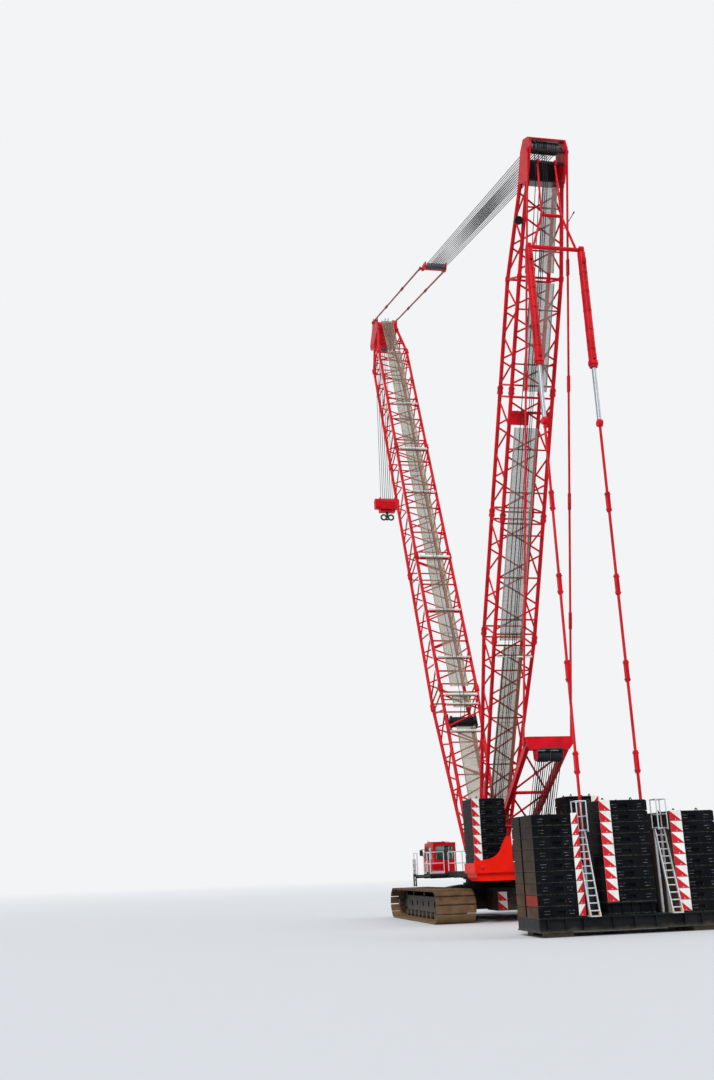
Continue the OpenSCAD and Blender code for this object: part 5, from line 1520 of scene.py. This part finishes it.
@dataclass
class Cab:
    """Operator's cab: glass in rubber seals, wiper, lamps, mirrors and grab rails.

    Attributes:
        x: Rear and front of the cab.
        y: Right and left side.
        z: Underside and roof.
        pane: Thickness of the glass.
    """

    x: Pair = (0.24, 1.34)
    y: Pair = (1.01, 1.65)
    z: Pair = (1.16, 1.97)
    pane: float = 0.006

    def panes(self) -> list[tuple[str, str, list[Vector], Vector]]:
        """Lists the panes.

        Returns:
            Name, body, corners on the outer face and outward direction of each pane.
        """
        sill, head = self.z[0] + 0.36, self.z[1] - 0.09
        front, right, left = self.x[1] - 0.28, self.y[0], self.y[1]
        fore, rear, over = Vector((1, 0, 0)), Vector((-1, 0, 0)), Vector(UPRIGHT)
        to_right, to_left = Vector((0, -1, 0)), Vector((0, 1, 0))

        def slant(z: float) -> float:
            """Gives the windscreen's place at that height."""
            return self.x[1] - 0.18 * (z - 1.49) / 0.48 if z > 1.49 else 1.28 + 0.06 * (z - 1.16) / 0.33

        def front_pane(low: float, high: float, edge: float) -> list[Vector]:
            """Gives the corners of a pane across the front."""
            a, b = right + edge, left - edge
            return [Vector((slant(z), y, z)) for z, y in ((low, a), (low, b), (high, b), (high, a))]

        def level_pane(axis: int, at: float, a: Point, b: Point) -> list[Vector]:
            """Gives the corners of a pane at right angles to an axis."""
            flat = [(a[0], a[1]), (b[0], a[1]), (b[0], b[1]), (a[0], b[1])]
            return [Vector((*p[:axis], at, *p[axis:])) for p in flat]

        house = "superstructure"
        return [
            ("windscreen", house, front_pane(1.5, 1.9, 0.06), fore * 0.936 + over * 0.351),
            ("lower_windscreen", house, front_pane(1.27, 1.45, 0.09), fore * 0.984 - over * 0.179),
            ("rear_window", house, level_pane(0, self.x[0], (1.08, sill), (1.58, head)), rear),
            ("right_rear_window", house, level_pane(1, right, (0.34, sill), (0.72, head)), to_right),
            ("right_front_window", house, level_pane(1, right, (0.78, sill), (front, head)), to_right),
            ("left_quarter_window", house, level_pane(1, left, (0.94, sill), (front, head)), to_left),
            ("roof_window", house, level_pane(2, self.z[1], (0.64, 1.09), (1.04, 1.57)), over),
            ("door_window", "door", level_pane(1, left, (0.39, sill), (0.82, self.z[1] - 0.11)), to_left),
        ]

    def glazing(self) -> None:
        """Builds each pane and its moulded rubber seal."""
        for name, body, corners, out in self.panes():
            out = out.normalized()
            middle = sum(corners, Vector()) / 4
            glass = MeshMaker("glass_" + name)
            inner = [c + (c - middle) * 0.02 - out * 0.015 for c in corners]
            glass.prism(inner, out * self.pane)
            glass.piece(GLASS, body, smooth=False)
            seal = MeshMaker("seal_" + name)
            ring = [c - out * 0.001 for c in corners]
            for i in range(4):
                seal.tube([ring[i], ring[(i + 1) % 4]], 0.008, 8)
                seal.ball(ring[i], 0.008)
            seal.piece(RUBBER, body)

    def fittings(self) -> None:
        """Builds the wiper, the work lamps, the mirror, the roof guard and the grab rail."""
        wiper = MeshMaker("cab_wiper")
        wiper.tube([(1.325, 1.33, 1.545), (1.27, 1.42, 1.72), (1.252, 1.43, 1.76)], 0.005, 6)
        wiper.tube([(1.30, 1.44, 1.63), (1.22, 1.42, 1.84)], 0.007, 6)
        wiper.lathe((1.318, 1.33, 1.54), (0.936, 0, 0.351), [(0, 0.02), (0.012, 0.02), (0.02, 0.012)], 14)
        wiper.piece(RUBBER, "superstructure")
        guard = MeshMaker("cab_roof_guard")
        for y in (1.1, 1.18, 1.26, 1.34, 1.42, 1.5, 1.58):
            guard.tube([(0.6, y, 1.978), (0.62, y, 1.992), (1.06, y, 1.992), (1.08, y, 1.978)], 0.005, 6)
        for x in (0.62, 1.06):
            guard.tube([(x, 1.08, 1.99), (x, 1.6, 1.99)], 0.007, 6)
        guard.piece(FRAME_BLACK, "superstructure")
        bowl = [(0, 0.012), (0.012, 0.03), (0.05, 0.04), (0.058, 0.04), (0.058, 0.034), (0.05, 0.03)]
        for i, y in enumerate((1.12, 1.54)):
            lamp = MeshMaker(f"cab_lamp_{i + 1}")
            lamp.lathe((1.1, y, 2.02), (1, 0, -0.18), bowl, 18)
            lamp.bar((1.13, y, 1.972), (1.13, y, 2.0), 0.02, 0.012, (1, 0, 0))
            lamp.piece(WHITE_ENAMEL, "superstructure")
        mirror = MeshMaker("cab_mirror")
        mirror.tube([(1.2, 1.645, 1.8), (1.25, 1.72, 1.82), (1.25, 1.74, 1.66), (1.22, 1.65, 1.6)], 0.008, 8)
        mirror.bar((1.25, 1.735, 1.64), (1.25, 1.735, 1.8), 0.012, 0.09, (0.3, 1, 0))
        mirror.piece(RUBBER, "superstructure", bevel=0.003)
        rail = MeshMaker("cab_grab_rails")
        for x in (0.95, 1.0):
            rail.tube([(x, 1.65, 1.22), (x, 1.69, 1.24), (x, 1.69, 1.46), (x, 1.65, 1.48)], 0.009, 8)
        rail.piece(GALVANISED, "superstructure")

    def build(self) -> None:
        """Builds the cab's fittings."""
        self.glazing()
        self.fittings()


@dataclass
class Joints:
    """Pins with their keepers in the joint sleeves of the boom and the mast, and the boom's cable conduit.

    Attributes:
        pin: Radius of a pin.
    """

    pin: float = 0.022

    def joint_pins(self, name: str, body: str, frame: Place, half: Pair,
                   sleeve: float, joints: Sequence[float]) -> None:
        """Builds the four pins of each joint.

        Args:
            name: Name of the piece.
            body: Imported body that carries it.
            frame: Turns the lattice's own directions into the model's frame.
            half: Half the lattice's depth and width.
            sleeve: Radius of a joint sleeve.
            joints: Places of the joints along the lattice.
        """
        mesh = MeshMaker(name)
        reach = sleeve + 0.012
        cotter = Vector((0.03, 0, 0))
        for z in joints:
            for sx in (-1, 1):
                for sy in (-1, 1):
                    for dz in (-0.055, 0.055):
                        centre = frame(sx * half[0], sy * half[1], z + dz)
                        mesh.pin(centre, reach, self.pin, self.pin * 0.8, 0.006, 12)
                        for s in (-1, 1):
                            end = centre + Vector((0, s * (reach - 0.008), 0))
                            mesh.tube([end + cotter, end - cotter], 0.003, 5)
        mesh.piece(MACHINED, body)

    def conduit(self) -> None:
        """Builds the cable conduit along the boom's upper left chord with its clamps."""
        rear, left = -BOOM.depth / 2, BOOM.width / 2
        conduit = MeshMaker("boom_conduit")
        conduit.tube([BOOM.at(rear + 0.09, left + 0.035, z) for z in (5.45, 21.2)], 0.011, 8)
        for i in range(27):
            z = 5.5 + i * 0.6
            chord, end = BOOM.at(rear + 0.03, left + 0.03, z), BOOM.at(rear + 0.1, left + 0.037, z)
            conduit.bar(chord, end, 0.02, 0.006, ACROSS)
        conduit.piece(GALVANISED, "boom")

    def build(self) -> None:
        """Builds all the joints' pins and the conduit."""
        boom_half, mast_half = (BOOM.depth / 2, BOOM.width / 2), (MAST.depth / 2, MAST.width / 2)
        self.joint_pins("boom_joint_pins", "boom", BOOM.at, boom_half, 0.074, (5.3, 10.6, 15.9, 21.4))
        self.joint_pins("mast_joint_pins", "mast", MAST.at, mast_half, 0.07, (6.1, 9.3, 12.5))
        self.conduit()


@dataclass
class SuperliftFittings:
    """Pipes of the superlift cylinders, pin keepers of the pendants, lifting eyes and pads of the tray.

    Attributes:
        hang: Place of the pin that the spreader hangs from.
        pendant_y: Half the distance between the pendants.
        barrel_drop: How far the barrels start below the pin.
        pipe_path: Points of an oil pipe: distance behind the cylinder's axis and below the barrel's top.
        pendant_z: Heights of the pendants' lowest and highest pin.
        links: Number of links in each pendant.
        slab_x: Places of the eyes along the crane.
        eye_sink: How far the eyes' feet sink into the welds.
    """

    hang: Pair = (-8.10987, 17.76769)
    pendant_y: float = 0.66
    barrel_drop: float = 2.49
    pipe_path: tuple[Point, ...] = ((0.12, 0.3), (0.118, 0.5), (0.112, 2.6), (0.12, 2.74))
    pendant_z: Pair = (1.4, 10.87769)
    links: int = 5
    slab_x: Pair = (-8.4, -7.7)
    eye_sink: float = 0.004

    def pipes(self) -> None:
        """Builds the rigid oil pipes down the barrels and the bands that hold them."""
        x, top = self.hang[0], self.hang[1] - self.barrel_drop
        mesh = MeshMaker("cylinder_pipes")
        for side in Side:
            y = side.value * self.pendant_y
            for pipe_y in (y - 0.022, y + 0.022):
                mesh.tube([(x - out, pipe_y, top - down) for out, down in self.pipe_path], 0.008, 8)
            for i in range(5):
                z = top - 0.55 - i * 0.5
                mesh.lathe((x, y, z), UPRIGHT, [(0, 0.094), (0, 0.1), (0.03, 0.1), (0.03, 0.094)], 28)
                saddle = Vector((x - 0.095, y, z + 0.015))
                mesh.bar(saddle - Vector((0, 0.04, 0)), saddle + Vector((0, 0.04, 0)), 0.03, 0.05, (1, 0, 0))
        mesh.piece(CRANE_RED, "superlift_hanger")

    def keepers(self) -> None:
        """Builds the pin heads and their keeper bars at the pendants' joints."""
        x, (low, high) = self.hang[0], self.pendant_z
        mesh = MeshMaker("pendant_keepers")
        for side in Side:
            y = side.value * self.pendant_y
            for i in range(1, self.links):
                joint = high - i * (high - low) / self.links
                for z in (joint - 0.18, joint + 0.18):
                    for k in (-1, 1):
                        mesh.bolt((x, y + k * 0.0521, z), (0, k, 0), 0.036)
                        bar_y = y + k * 0.0415
                        mesh.bar((x - 0.035, bar_y, z + 0.04), (x + 0.035, bar_y, z + 0.04), 0.007, 0.014)
        mesh.piece(MACHINED, "superlift_pendant")

    def tray(self) -> None:
        """Builds the lifting eyes on the tray's stacks and the pads under its ladders."""
        eyes = MeshMaker("tray_lifting_eyes")
        for top, places in ((2.267, (-1.7, -1.2, 1.2, 1.7)), (2.507, (-0.3, 0.3))):
            for x in self.slab_x:
                for y in places:
                    eyes.lifting_eye((x, y, top - self.eye_sink))
        eyes.piece(FRAME_BLACK, "superlift_tray")
        pads = MeshMaker("tray_ladder_pads")
        for side in Side:
            for k in (-1, 1):
                foot = (-8.815, side.value * (0.8455 + k * 0.0985), 0.371)
                pads.lathe(foot, UPRIGHT, [(0, 0.024), (0.012, 0.026), (0.05, 0.024), (0.056, 0.018)], 14)
        pads.piece(YELLOW_PU, "superlift_tray")

    def build(self) -> None:
        """Builds all the fittings."""
        self.pipes()
        self.keepers()
        self.tray()


@dataclass
class LinkStrings:
    """Two like strings of flat links, left and right, pinned end to end through double plates.

    Attributes:
        name: Name of the piece.
        node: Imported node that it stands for.
        body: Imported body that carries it.
        finish: Finish of the links.
        first: Place of the left string's first pin.
        last: Place of its last pin.
        links: Number of links in each string.
        eyes: Bore and outer radius of the first and the last eye.
        eye_thick: Thickness of the eyes.
        trim: How far the links' bars start from the first and the last pin.
        bar: Depth and thickness of a bar.
        plate: Half the length of a joint's plates, their depth and thickness.
        plate_y: Distance of the plates from the string's middle.
        pin: Distance of the pins from the joint, half their length and their radius.
    """

    name: str
    node: str
    body: str
    finish: Finish
    first: Vector
    last: Vector
    links: int
    eyes: tuple[Pair, Pair]
    eye_thick: float
    trim: Pair
    bar: Pair
    plate: Triple
    plate_y: float
    pin: Triple

    def joint(self, mesh: MeshMaker, middle: Vector, along: Vector) -> None:
        """Adds both plates and both pins of a joint.

        Args:
            mesh: Mesh that gets them.
            middle: Middle of the joint.
            along: Direction of the string.
        """
        half, deep, thick = self.plate
        distance, pin_half, pin_r = self.pin
        for k in (-1, 1):
            off = Vector((0, k * self.plate_y, 0))
            mesh.bar(middle - along * half + off, middle + along * half + off, deep, thick, ACROSS)
            mesh.pin(middle + along * distance * k, pin_half, pin_r, pin_r - 0.004, 0.004)

    def build(self) -> None:
        """Builds both strings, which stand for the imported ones."""
        mesh = MeshMaker(self.name)
        for side in Side:
            a, b = (Vector((p.x, side.value * p.y, p.z)) for p in (self.first, self.last))
            along = (b - a).normalized()
            for pin, (bore, radius) in zip((a, b), self.eyes):
                mesh.ring(pin, self.eye_thick / 2, bore, radius)
            mesh.bar(a + along * self.trim[0], b - along * self.trim[1], *self.bar, ACROSS)
            for i in range(1, self.links):
                self.joint(mesh, a + (b - a) * i / self.links, along)
        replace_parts(mesh.piece(self.finish, self.body, bevel=0.002), self.node)


def backstays() -> LinkStrings:
    """Gives the strings between the mast's head and the A-frame's crossbeam.

    Returns:
        The strings, not built yet.
    """
    return LinkStrings(
        "backstay_links", "backstays", "backstay", CRANE_RED,
        first=Vector((-8.25375, 0.5085, 18.00135)), last=Vector((-4.8, 0.5935, 4.09)), links=5,
        eyes=((0.0355, 0.066), (0.02, 0.065)), eye_thick=0.036, trim=(0.05, 0.03), bar=(0.076, 0.03),
        plate=(0.2, 0.1, 0.01), plate_y=0.0205, pin=(0.15, 0.036, 0.03))


def boom_pendants() -> LinkStrings:
    """Gives the strings between the equaliser and the boom's tip.

    Returns:
        The strings, not built yet.
    """
    along = Vector(Stay.along())
    first = Vector(Stay.start) + along * 10.88 + Vector((0, 0.45, 0))
    return LinkStrings(
        "boom_pendant_links", "boom_pendants", "boom_stay", PENDANT_DARK,
        first=first, last=first + along * 8.308, links=3,
        eyes=((0.0405, 0.072), (0.0405, 0.072)), eye_thick=0.034, trim=(0.06, 0.06), bar=(0.062, 0.028),
        plate=(0.17, 0.088, 0.01), plate_y=0.0195, pin=(0.125, 0.034, 0.026))


@dataclass
class MastFittings:
    """What the mast carries at its upper joint and its head: rope guide, cover plates, floodlight and aerial.

    Attributes:
        channel_x: Place of the rope guide's channel out of the mast's axis.
        guide_z: Its place along the mast.
        half: Half the width over the chords' axes.
        fingers: Sideways places of the guide's fingers.
        head: Place of the chord at the floodlight: out, across and along the mast.
    """

    channel_x: float = -MAST.depth / 2 - 0.076
    guide_z: float = 11.98
    half: float = MAST.width / 2
    fingers: tuple[float, ...] = (-0.42, -0.3, -0.18, -0.06, 0.06, 0.18, 0.3, 0.42)
    head: Triple = (-0.343, 0.489, 16.65)

    def rope_guide(self) -> None:
        """Builds the channel across the rear chords with its fingers and the cover plates below it."""
        out = direction(MAST.at, -1, 0, 0)
        x, z = self.channel_x, self.guide_z
        plates = MeshMaker("mast_cover_plates")
        plates.bar(MAST.at(x, -self.half, z), MAST.at(x, self.half, z), 0.07, 0.05, out)
        for y0, y1, low in ((0.06, 0.54, 11.66), (-0.54, -0.34, 11.62)):
            middle = (y0 + y1) / 2
            plates.bar(MAST.at(x + 0.02, middle, low), MAST.at(x + 0.02, middle, z), y1 - y0, 0.01, out)
            for y in (y0 + 0.03, y1 - 0.03):
                plates.bolt(MAST.at(x + 0.014, y, low + 0.04), out, 0.016)
        plates.piece(CRANE_RED, "mast", bevel=0.0015)
        fingers = MeshMaker("mast_rope_fingers")
        for y in self.fingers:
            bent = ((0.02, 0), (0.07, 0.01), (0.1, 0.05))
            fingers.tube([MAST.at(x - out, y, z + up) for out, up in bent], 0.009)
        fingers.piece(FRAME_BLACK, "mast")

    def lights(self) -> None:
        """Builds the floodlight on the left of the head and the aerial on its right."""
        x, y, z = self.head
        lamp = MeshMaker("mast_floodlight")
        lamp.bar(MAST.at(x, y + 0.04, z), MAST.at(x, y + 0.22, z), 0.05, 0.03, direction(MAST.at, -1, 0, 0))
        back = MAST.at(x, y + 0.15, z) + Vector((0.06, 0, 0.02))
        bowl = [(0, 0.05), (0.03, 0.095), (0.12, 0.105), (0.14, 0.105), (0.14, 0.092), (0.115, 0.088)]
        lamp.lathe(back, (-0.9, 0, -0.44), bowl, 24)
        lamp.piece(FRAME_BLACK, "mast", bevel=0.002)
        aerial = MeshMaker("mast_aerial")
        tip = MAST.at(x, -y - 0.28, z + 0.26)
        aerial.tube([MAST.at(x, -y - 0.03, z - 0.15), MAST.at(x, -y - 0.1, z - 0.08), tip], 0.011, 8)
        knob = [(0, 0.011), (0.01, 0.018), (0.05, 0.018), (0.06, 0.008)]
        aerial.lathe(tip, direction(MAST.at, 0, -0.18, 0.34), knob, 12)
        aerial.piece(RUBBER, "mast")

    def build(self) -> None:
        """Builds all the fittings."""
        self.rope_guide()
        self.lights()


@dataclass
class HookBlock:
    """Rope guards and shaft nuts of the hook block.

    Attributes:
        guards: Lower and upper edge of each guard plate: height from the shaft and distance in front of it.
        width: Length of a guard plate across the crane.
        bolts: Sideways places of the guards' bolts.
        cheek: Distance of the cheeks' outer faces from the middle.
    """

    guards: tuple[tuple[Pair, Pair], ...] = (((-0.3, 0.165), (-0.06, 0.2235)), ((-0.04, 0.232), (0.1, 0.214)))
    width: float = 0.562
    bolts: tuple[float, ...] = (-0.2, -0.1, 0.0, 0.1, 0.2)
    cheek: float = 0.499

    def build(self) -> None:
        """Builds the guards in front of and behind the sheaves and the shaft's nuts."""
        x, z = Hoist.x, Hoist.block_z
        guards = MeshMaker("hook_block_guards")
        for k in (-1, 1):
            for low, high in self.guards:
                a, b = ((x + k * out, 0, z + up) for up, out in (low, high))
                guards.bar(a, b, self.width, 0.008, (1, 0, 0))
            for y in self.bolts:
                guards.bolt((x + k * 0.226, y, z + 0.03), (k, 0, 0), 0.016)
        guards.piece(CRANE_RED, "block", bevel=0.0015)
        nuts = MeshMaker("hook_block_nuts")
        for side in Side:
            k = side.value
            nuts.lathe((x, k * self.cheek, z), (0, k, 0), [(0, 0.06), (0.012, 0.06), (0.016, 0.052)], 6)
        nuts.piece(MACHINED, "block")


@dataclass
class SlabLugs:
    """Bent-bar lifting lugs welded on the rear faces of the ballast slabs.

    Attributes:
        pitch: Height of one slab.
        bar_r: Radius of a lug's bar.
        half: Half the width of a lug.
        reach: How far a lug stands out.
        weld: How far its feet sink into the slab's face.
    """

    pitch: float = SLAB_PITCH
    bar_r: float = 0.008
    half: float = 0.045
    reach: float = 0.017
    weld: float = 0.004

    def lugs(self, name: str, body: str, x: float, places: Sequence[float], z: float, count: int) -> None:
        """Builds the lugs of one stack.

        Args:
            name: Name of the piece.
            body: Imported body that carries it.
            x: Place of the slabs' rear faces.
            places: Sideways places of the lugs.
            z: Height of the lowest slab's underside.
            count: Number of slabs.
        """
        mesh = MeshMaker(name)
        for i in range(count):
            for y in places:
                middle = z + (i + 0.42) * self.pitch
                foot = (x + self.weld, y, middle - 0.02)
                mesh.tube(arc(foot, (0, -self.half, 0), (-self.reach - self.weld, 0, 0)), self.bar_r, 6)
                mesh.box((x - 0.006, y - 0.06, middle + 0.03), (x + 0.001, y + 0.06, middle + 0.042))
        # The lugs' finish has pale patches that are partly rubbed enamel and partly painted glints.
        mesh.piece(WORN_BLACK_AND_GLINTS, body)

    def build(self) -> None:
        """Builds the lugs of all the stacks."""
        for name, places in (("left", (0.93, 1.35)), ("right", (-0.93, -1.35))):
            self.lugs("deck_lugs_" + name, "superstructure", -3.62, places, 1.4, 7)
        tray = (("left", (1.25, 1.75), 0.35), ("right", (-1.3, -1.75), 0.35), ("middle", (-0.35, 0.18), 0.59))
        for name, places, base in tray:
            self.lugs("tray_lugs_" + name, "superlift_tray", -8.67, places, base, 9)


@dataclass
class DeckFittings:
    """Louvres, door hardware and cowl of the power pack, stack eyes, rear lamps and tread plates.

    Attributes:
        louvres: Number of slats on each face of the power pack.
        louvre_pitch: Distance between two slats.
        stack_top: Height of the deck stacks' top face.
        tread_pitch: Distance between the raised bars of the tread plate, coarser than real so that they show.
        deck_z: Height of the raised bars' middle.
    """

    louvres: int = 9
    louvre_pitch: float = 0.062
    stack_top: float = 2.891
    tread_pitch: float = 0.06
    deck_z: float = 1.1412

    def power_pack(self) -> None:
        """Builds the louvres, door handles, hinges and the exhaust cowl."""
        slats = MeshMaker("power_louvres")
        for i in range(self.louvres):
            z = 1.31 + i * self.louvre_pitch
            slats.bar((-1.87, -1.449, z), (-1.27, -1.449, z), 0.004, 0.034, (0, -0.7, 0.7))
            slats.bar((-2.049, -1.3, z), (-2.049, -0.74, z), 0.004, 0.034, (-0.7, 0, 0.7))
        slats.piece(FRAME_BLACK, "superstructure")
        doors = MeshMaker("power_door_hardware")
        for x in (-1.2, -0.78):
            doors.bar((x, -1.462, 1.5), (x, -1.462, 1.6), 0.02, 0.012, ACROSS)
            doors.lathe((x, -1.45, 1.55), (0, -1, 0), [(0, 0.03), (0.008, 0.03), (0.012, 0.022)], 16)
        for x in (-1.16, -0.74):
            for z in (1.3, 1.8):
                doors.lathe((x, -1.456, z), (0, 0, 1), [(0, 0.011), (0.09, 0.011)], 10)
        doors.piece(MACHINED, "superstructure")
        cowl = MeshMaker("exhaust_cowl")
        bend = ((-1.27, 2.14), (-1.27, 2.2), (-1.255, 2.25), (-1.21, 2.28))
        cowl.tube([(x, -0.98, z) for x, z in bend], 0.042, 16)
        cowl.piece(MACHINED, "superstructure")

    def stacks(self) -> None:
        """Builds the lifting eyes on the stacks and the lamps and bolts on the carrier's rear plate."""
        eyes = MeshMaker("deck_lifting_eyes")
        for x0 in (-3.5, -3.0):
            for y0 in (-1.45, -0.97, 0.97, 1.45):
                eyes.lifting_eye((x0, y0, self.stack_top - 0.004))
        eyes.piece(FRAME_BLACK, "superstructure")
        bolts = MeshMaker("carrier_bolts")
        for side in Side:
            for y in (0.76, 0.86, 1.56, 1.62):
                for z in (1.2, 1.28, 1.36):
                    bolts.bolt((-3.691, side.value * y, z), (-1, 0, 0), 0.022)
        bolts.piece(CARRIER_RED, "superstructure")
        lens = [(0, 0.045), (0.018, 0.045), (0.022, 0.04), (0.03, 0.03), (0.034, 0.012)]
        for side in (Side.LEFT, Side.RIGHT):
            lamp = MeshMaker("rear_lamp_" + side.label)
            lamp.lathe((-3.692, side.value * 1.47, 1.3), (-1, 0, 0), lens, 20)
            lamp.piece(BOARD_RED, "superstructure")

    def walkway(self) -> None:
        """Builds the raised bars of the left walkway's tread plates and their kick rails."""
        step = self.tread_pitch
        tread = MeshMaker("walkway_treads")
        for x0, x1, y0, y1 in ((-2.66, 0.2, 0.56, 1.46), (-0.56, 0.1, 1.52, 1.93)):
            for i in range(int((x1 - x0) / step)):
                for j in range(int((y1 - y0) / step)):
                    middle = Vector((x0 + (i + 0.5) * step, y0 + (j + 0.5) * step, self.deck_z))
                    half = Vector((0.016, 0.016 if (i + j) % 2 else -0.016, 0))
                    tread.bar(middle - half, middle + half, 0.007, 0.0026)
        # The treads share the lugs' finish, whose pale patches are partly rubbed enamel and partly painted
        # glints.
        tread.piece(WORN_BLACK_AND_GLINTS, "superstructure", smooth=False)
        kick = MeshMaker("walkway_kick_rails")
        kick.bar((-2.66, 1.494, 1.18), (-0.64, 1.494, 1.18), 0.005, 0.08)
        kick.bar((-0.57, 1.974, 1.18), (-0.24, 1.974, 1.18), 0.005, 0.08)
        kick.piece(FRAME_BLACK, "superstructure")

    def build(self) -> None:
        """Builds all the fittings."""
        self.power_pack()
        self.stacks()
        self.walkway()


@dataclass
class Undercarriage:
    """Hub covers of the crawlers' sprockets and idlers with their bolts.

    Attributes:
        track_y: Distance of a crawler's centre plane from the middle.
        axle_x: Place of the sprocket and the idler.
        axle_z: Height of their axles.
        hub: Half the length of a hub.
        bolt_circle: Radius of the circle of bolts.
        bolts: Number of bolts in it.
    """

    track_y: float = 1.87
    axle_x: float = 2.25
    axle_z: float = 0.4
    hub: float = 0.32
    bolt_circle: float = 0.088
    bolts: int = 12

    def build(self) -> None:
        """Builds the bolts and covers on both sides."""
        bolts = MeshMaker("crawler_hub_bolts")
        covers = MeshMaker("crawler_hub_covers")
        rim = [(0, 0.108), (0.01, 0.108), (0.016, 0.1), (0.016, 0.06), (0.024, 0.052), (0.024, 0.01)]
        for side in Side:
            for x in (-self.axle_x, self.axle_x):
                for k in (-1, 1):
                    face = side.value * self.track_y + k * self.hub
                    covers.lathe((x, face, self.axle_z), (0, k, 0), rim, 28)
                    seat, r = (x, face + k * 0.016, self.axle_z), self.bolt_circle
                    for at in arc(seat, (r, 0, 0), (0, 0, r), self.bolts, 0, 360)[:-1]:
                        bolts.bolt(at, (0, k, 0), 0.02)
        covers.piece(FRAME_BLACK, "undercarriage")
        bolts.piece(MACHINED, "undercarriage")


def main(frame: dict[str, Any]) -> None:
    """Builds the studio and dresses the crane.
    """
    Studio().build()
    PaintShop().paint(frame["nodes"])
    parts = (boom_walkway(), mast_walkway(), Reeving(), HazardBoards(), Cab(), Joints(), SuperliftFittings(),
             backstays(), boom_pendants(), MastFittings(), HookBlock(), SlabLugs(), DeckFittings(),
             Undercarriage())
    for part in parts:
        part.build()
        LOG.info("built %s", type(part).__name__)


if __name__ == "__main__":
    logging.basicConfig(level=logging.INFO, format="%(message)s")
    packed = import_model()
    main(packed)
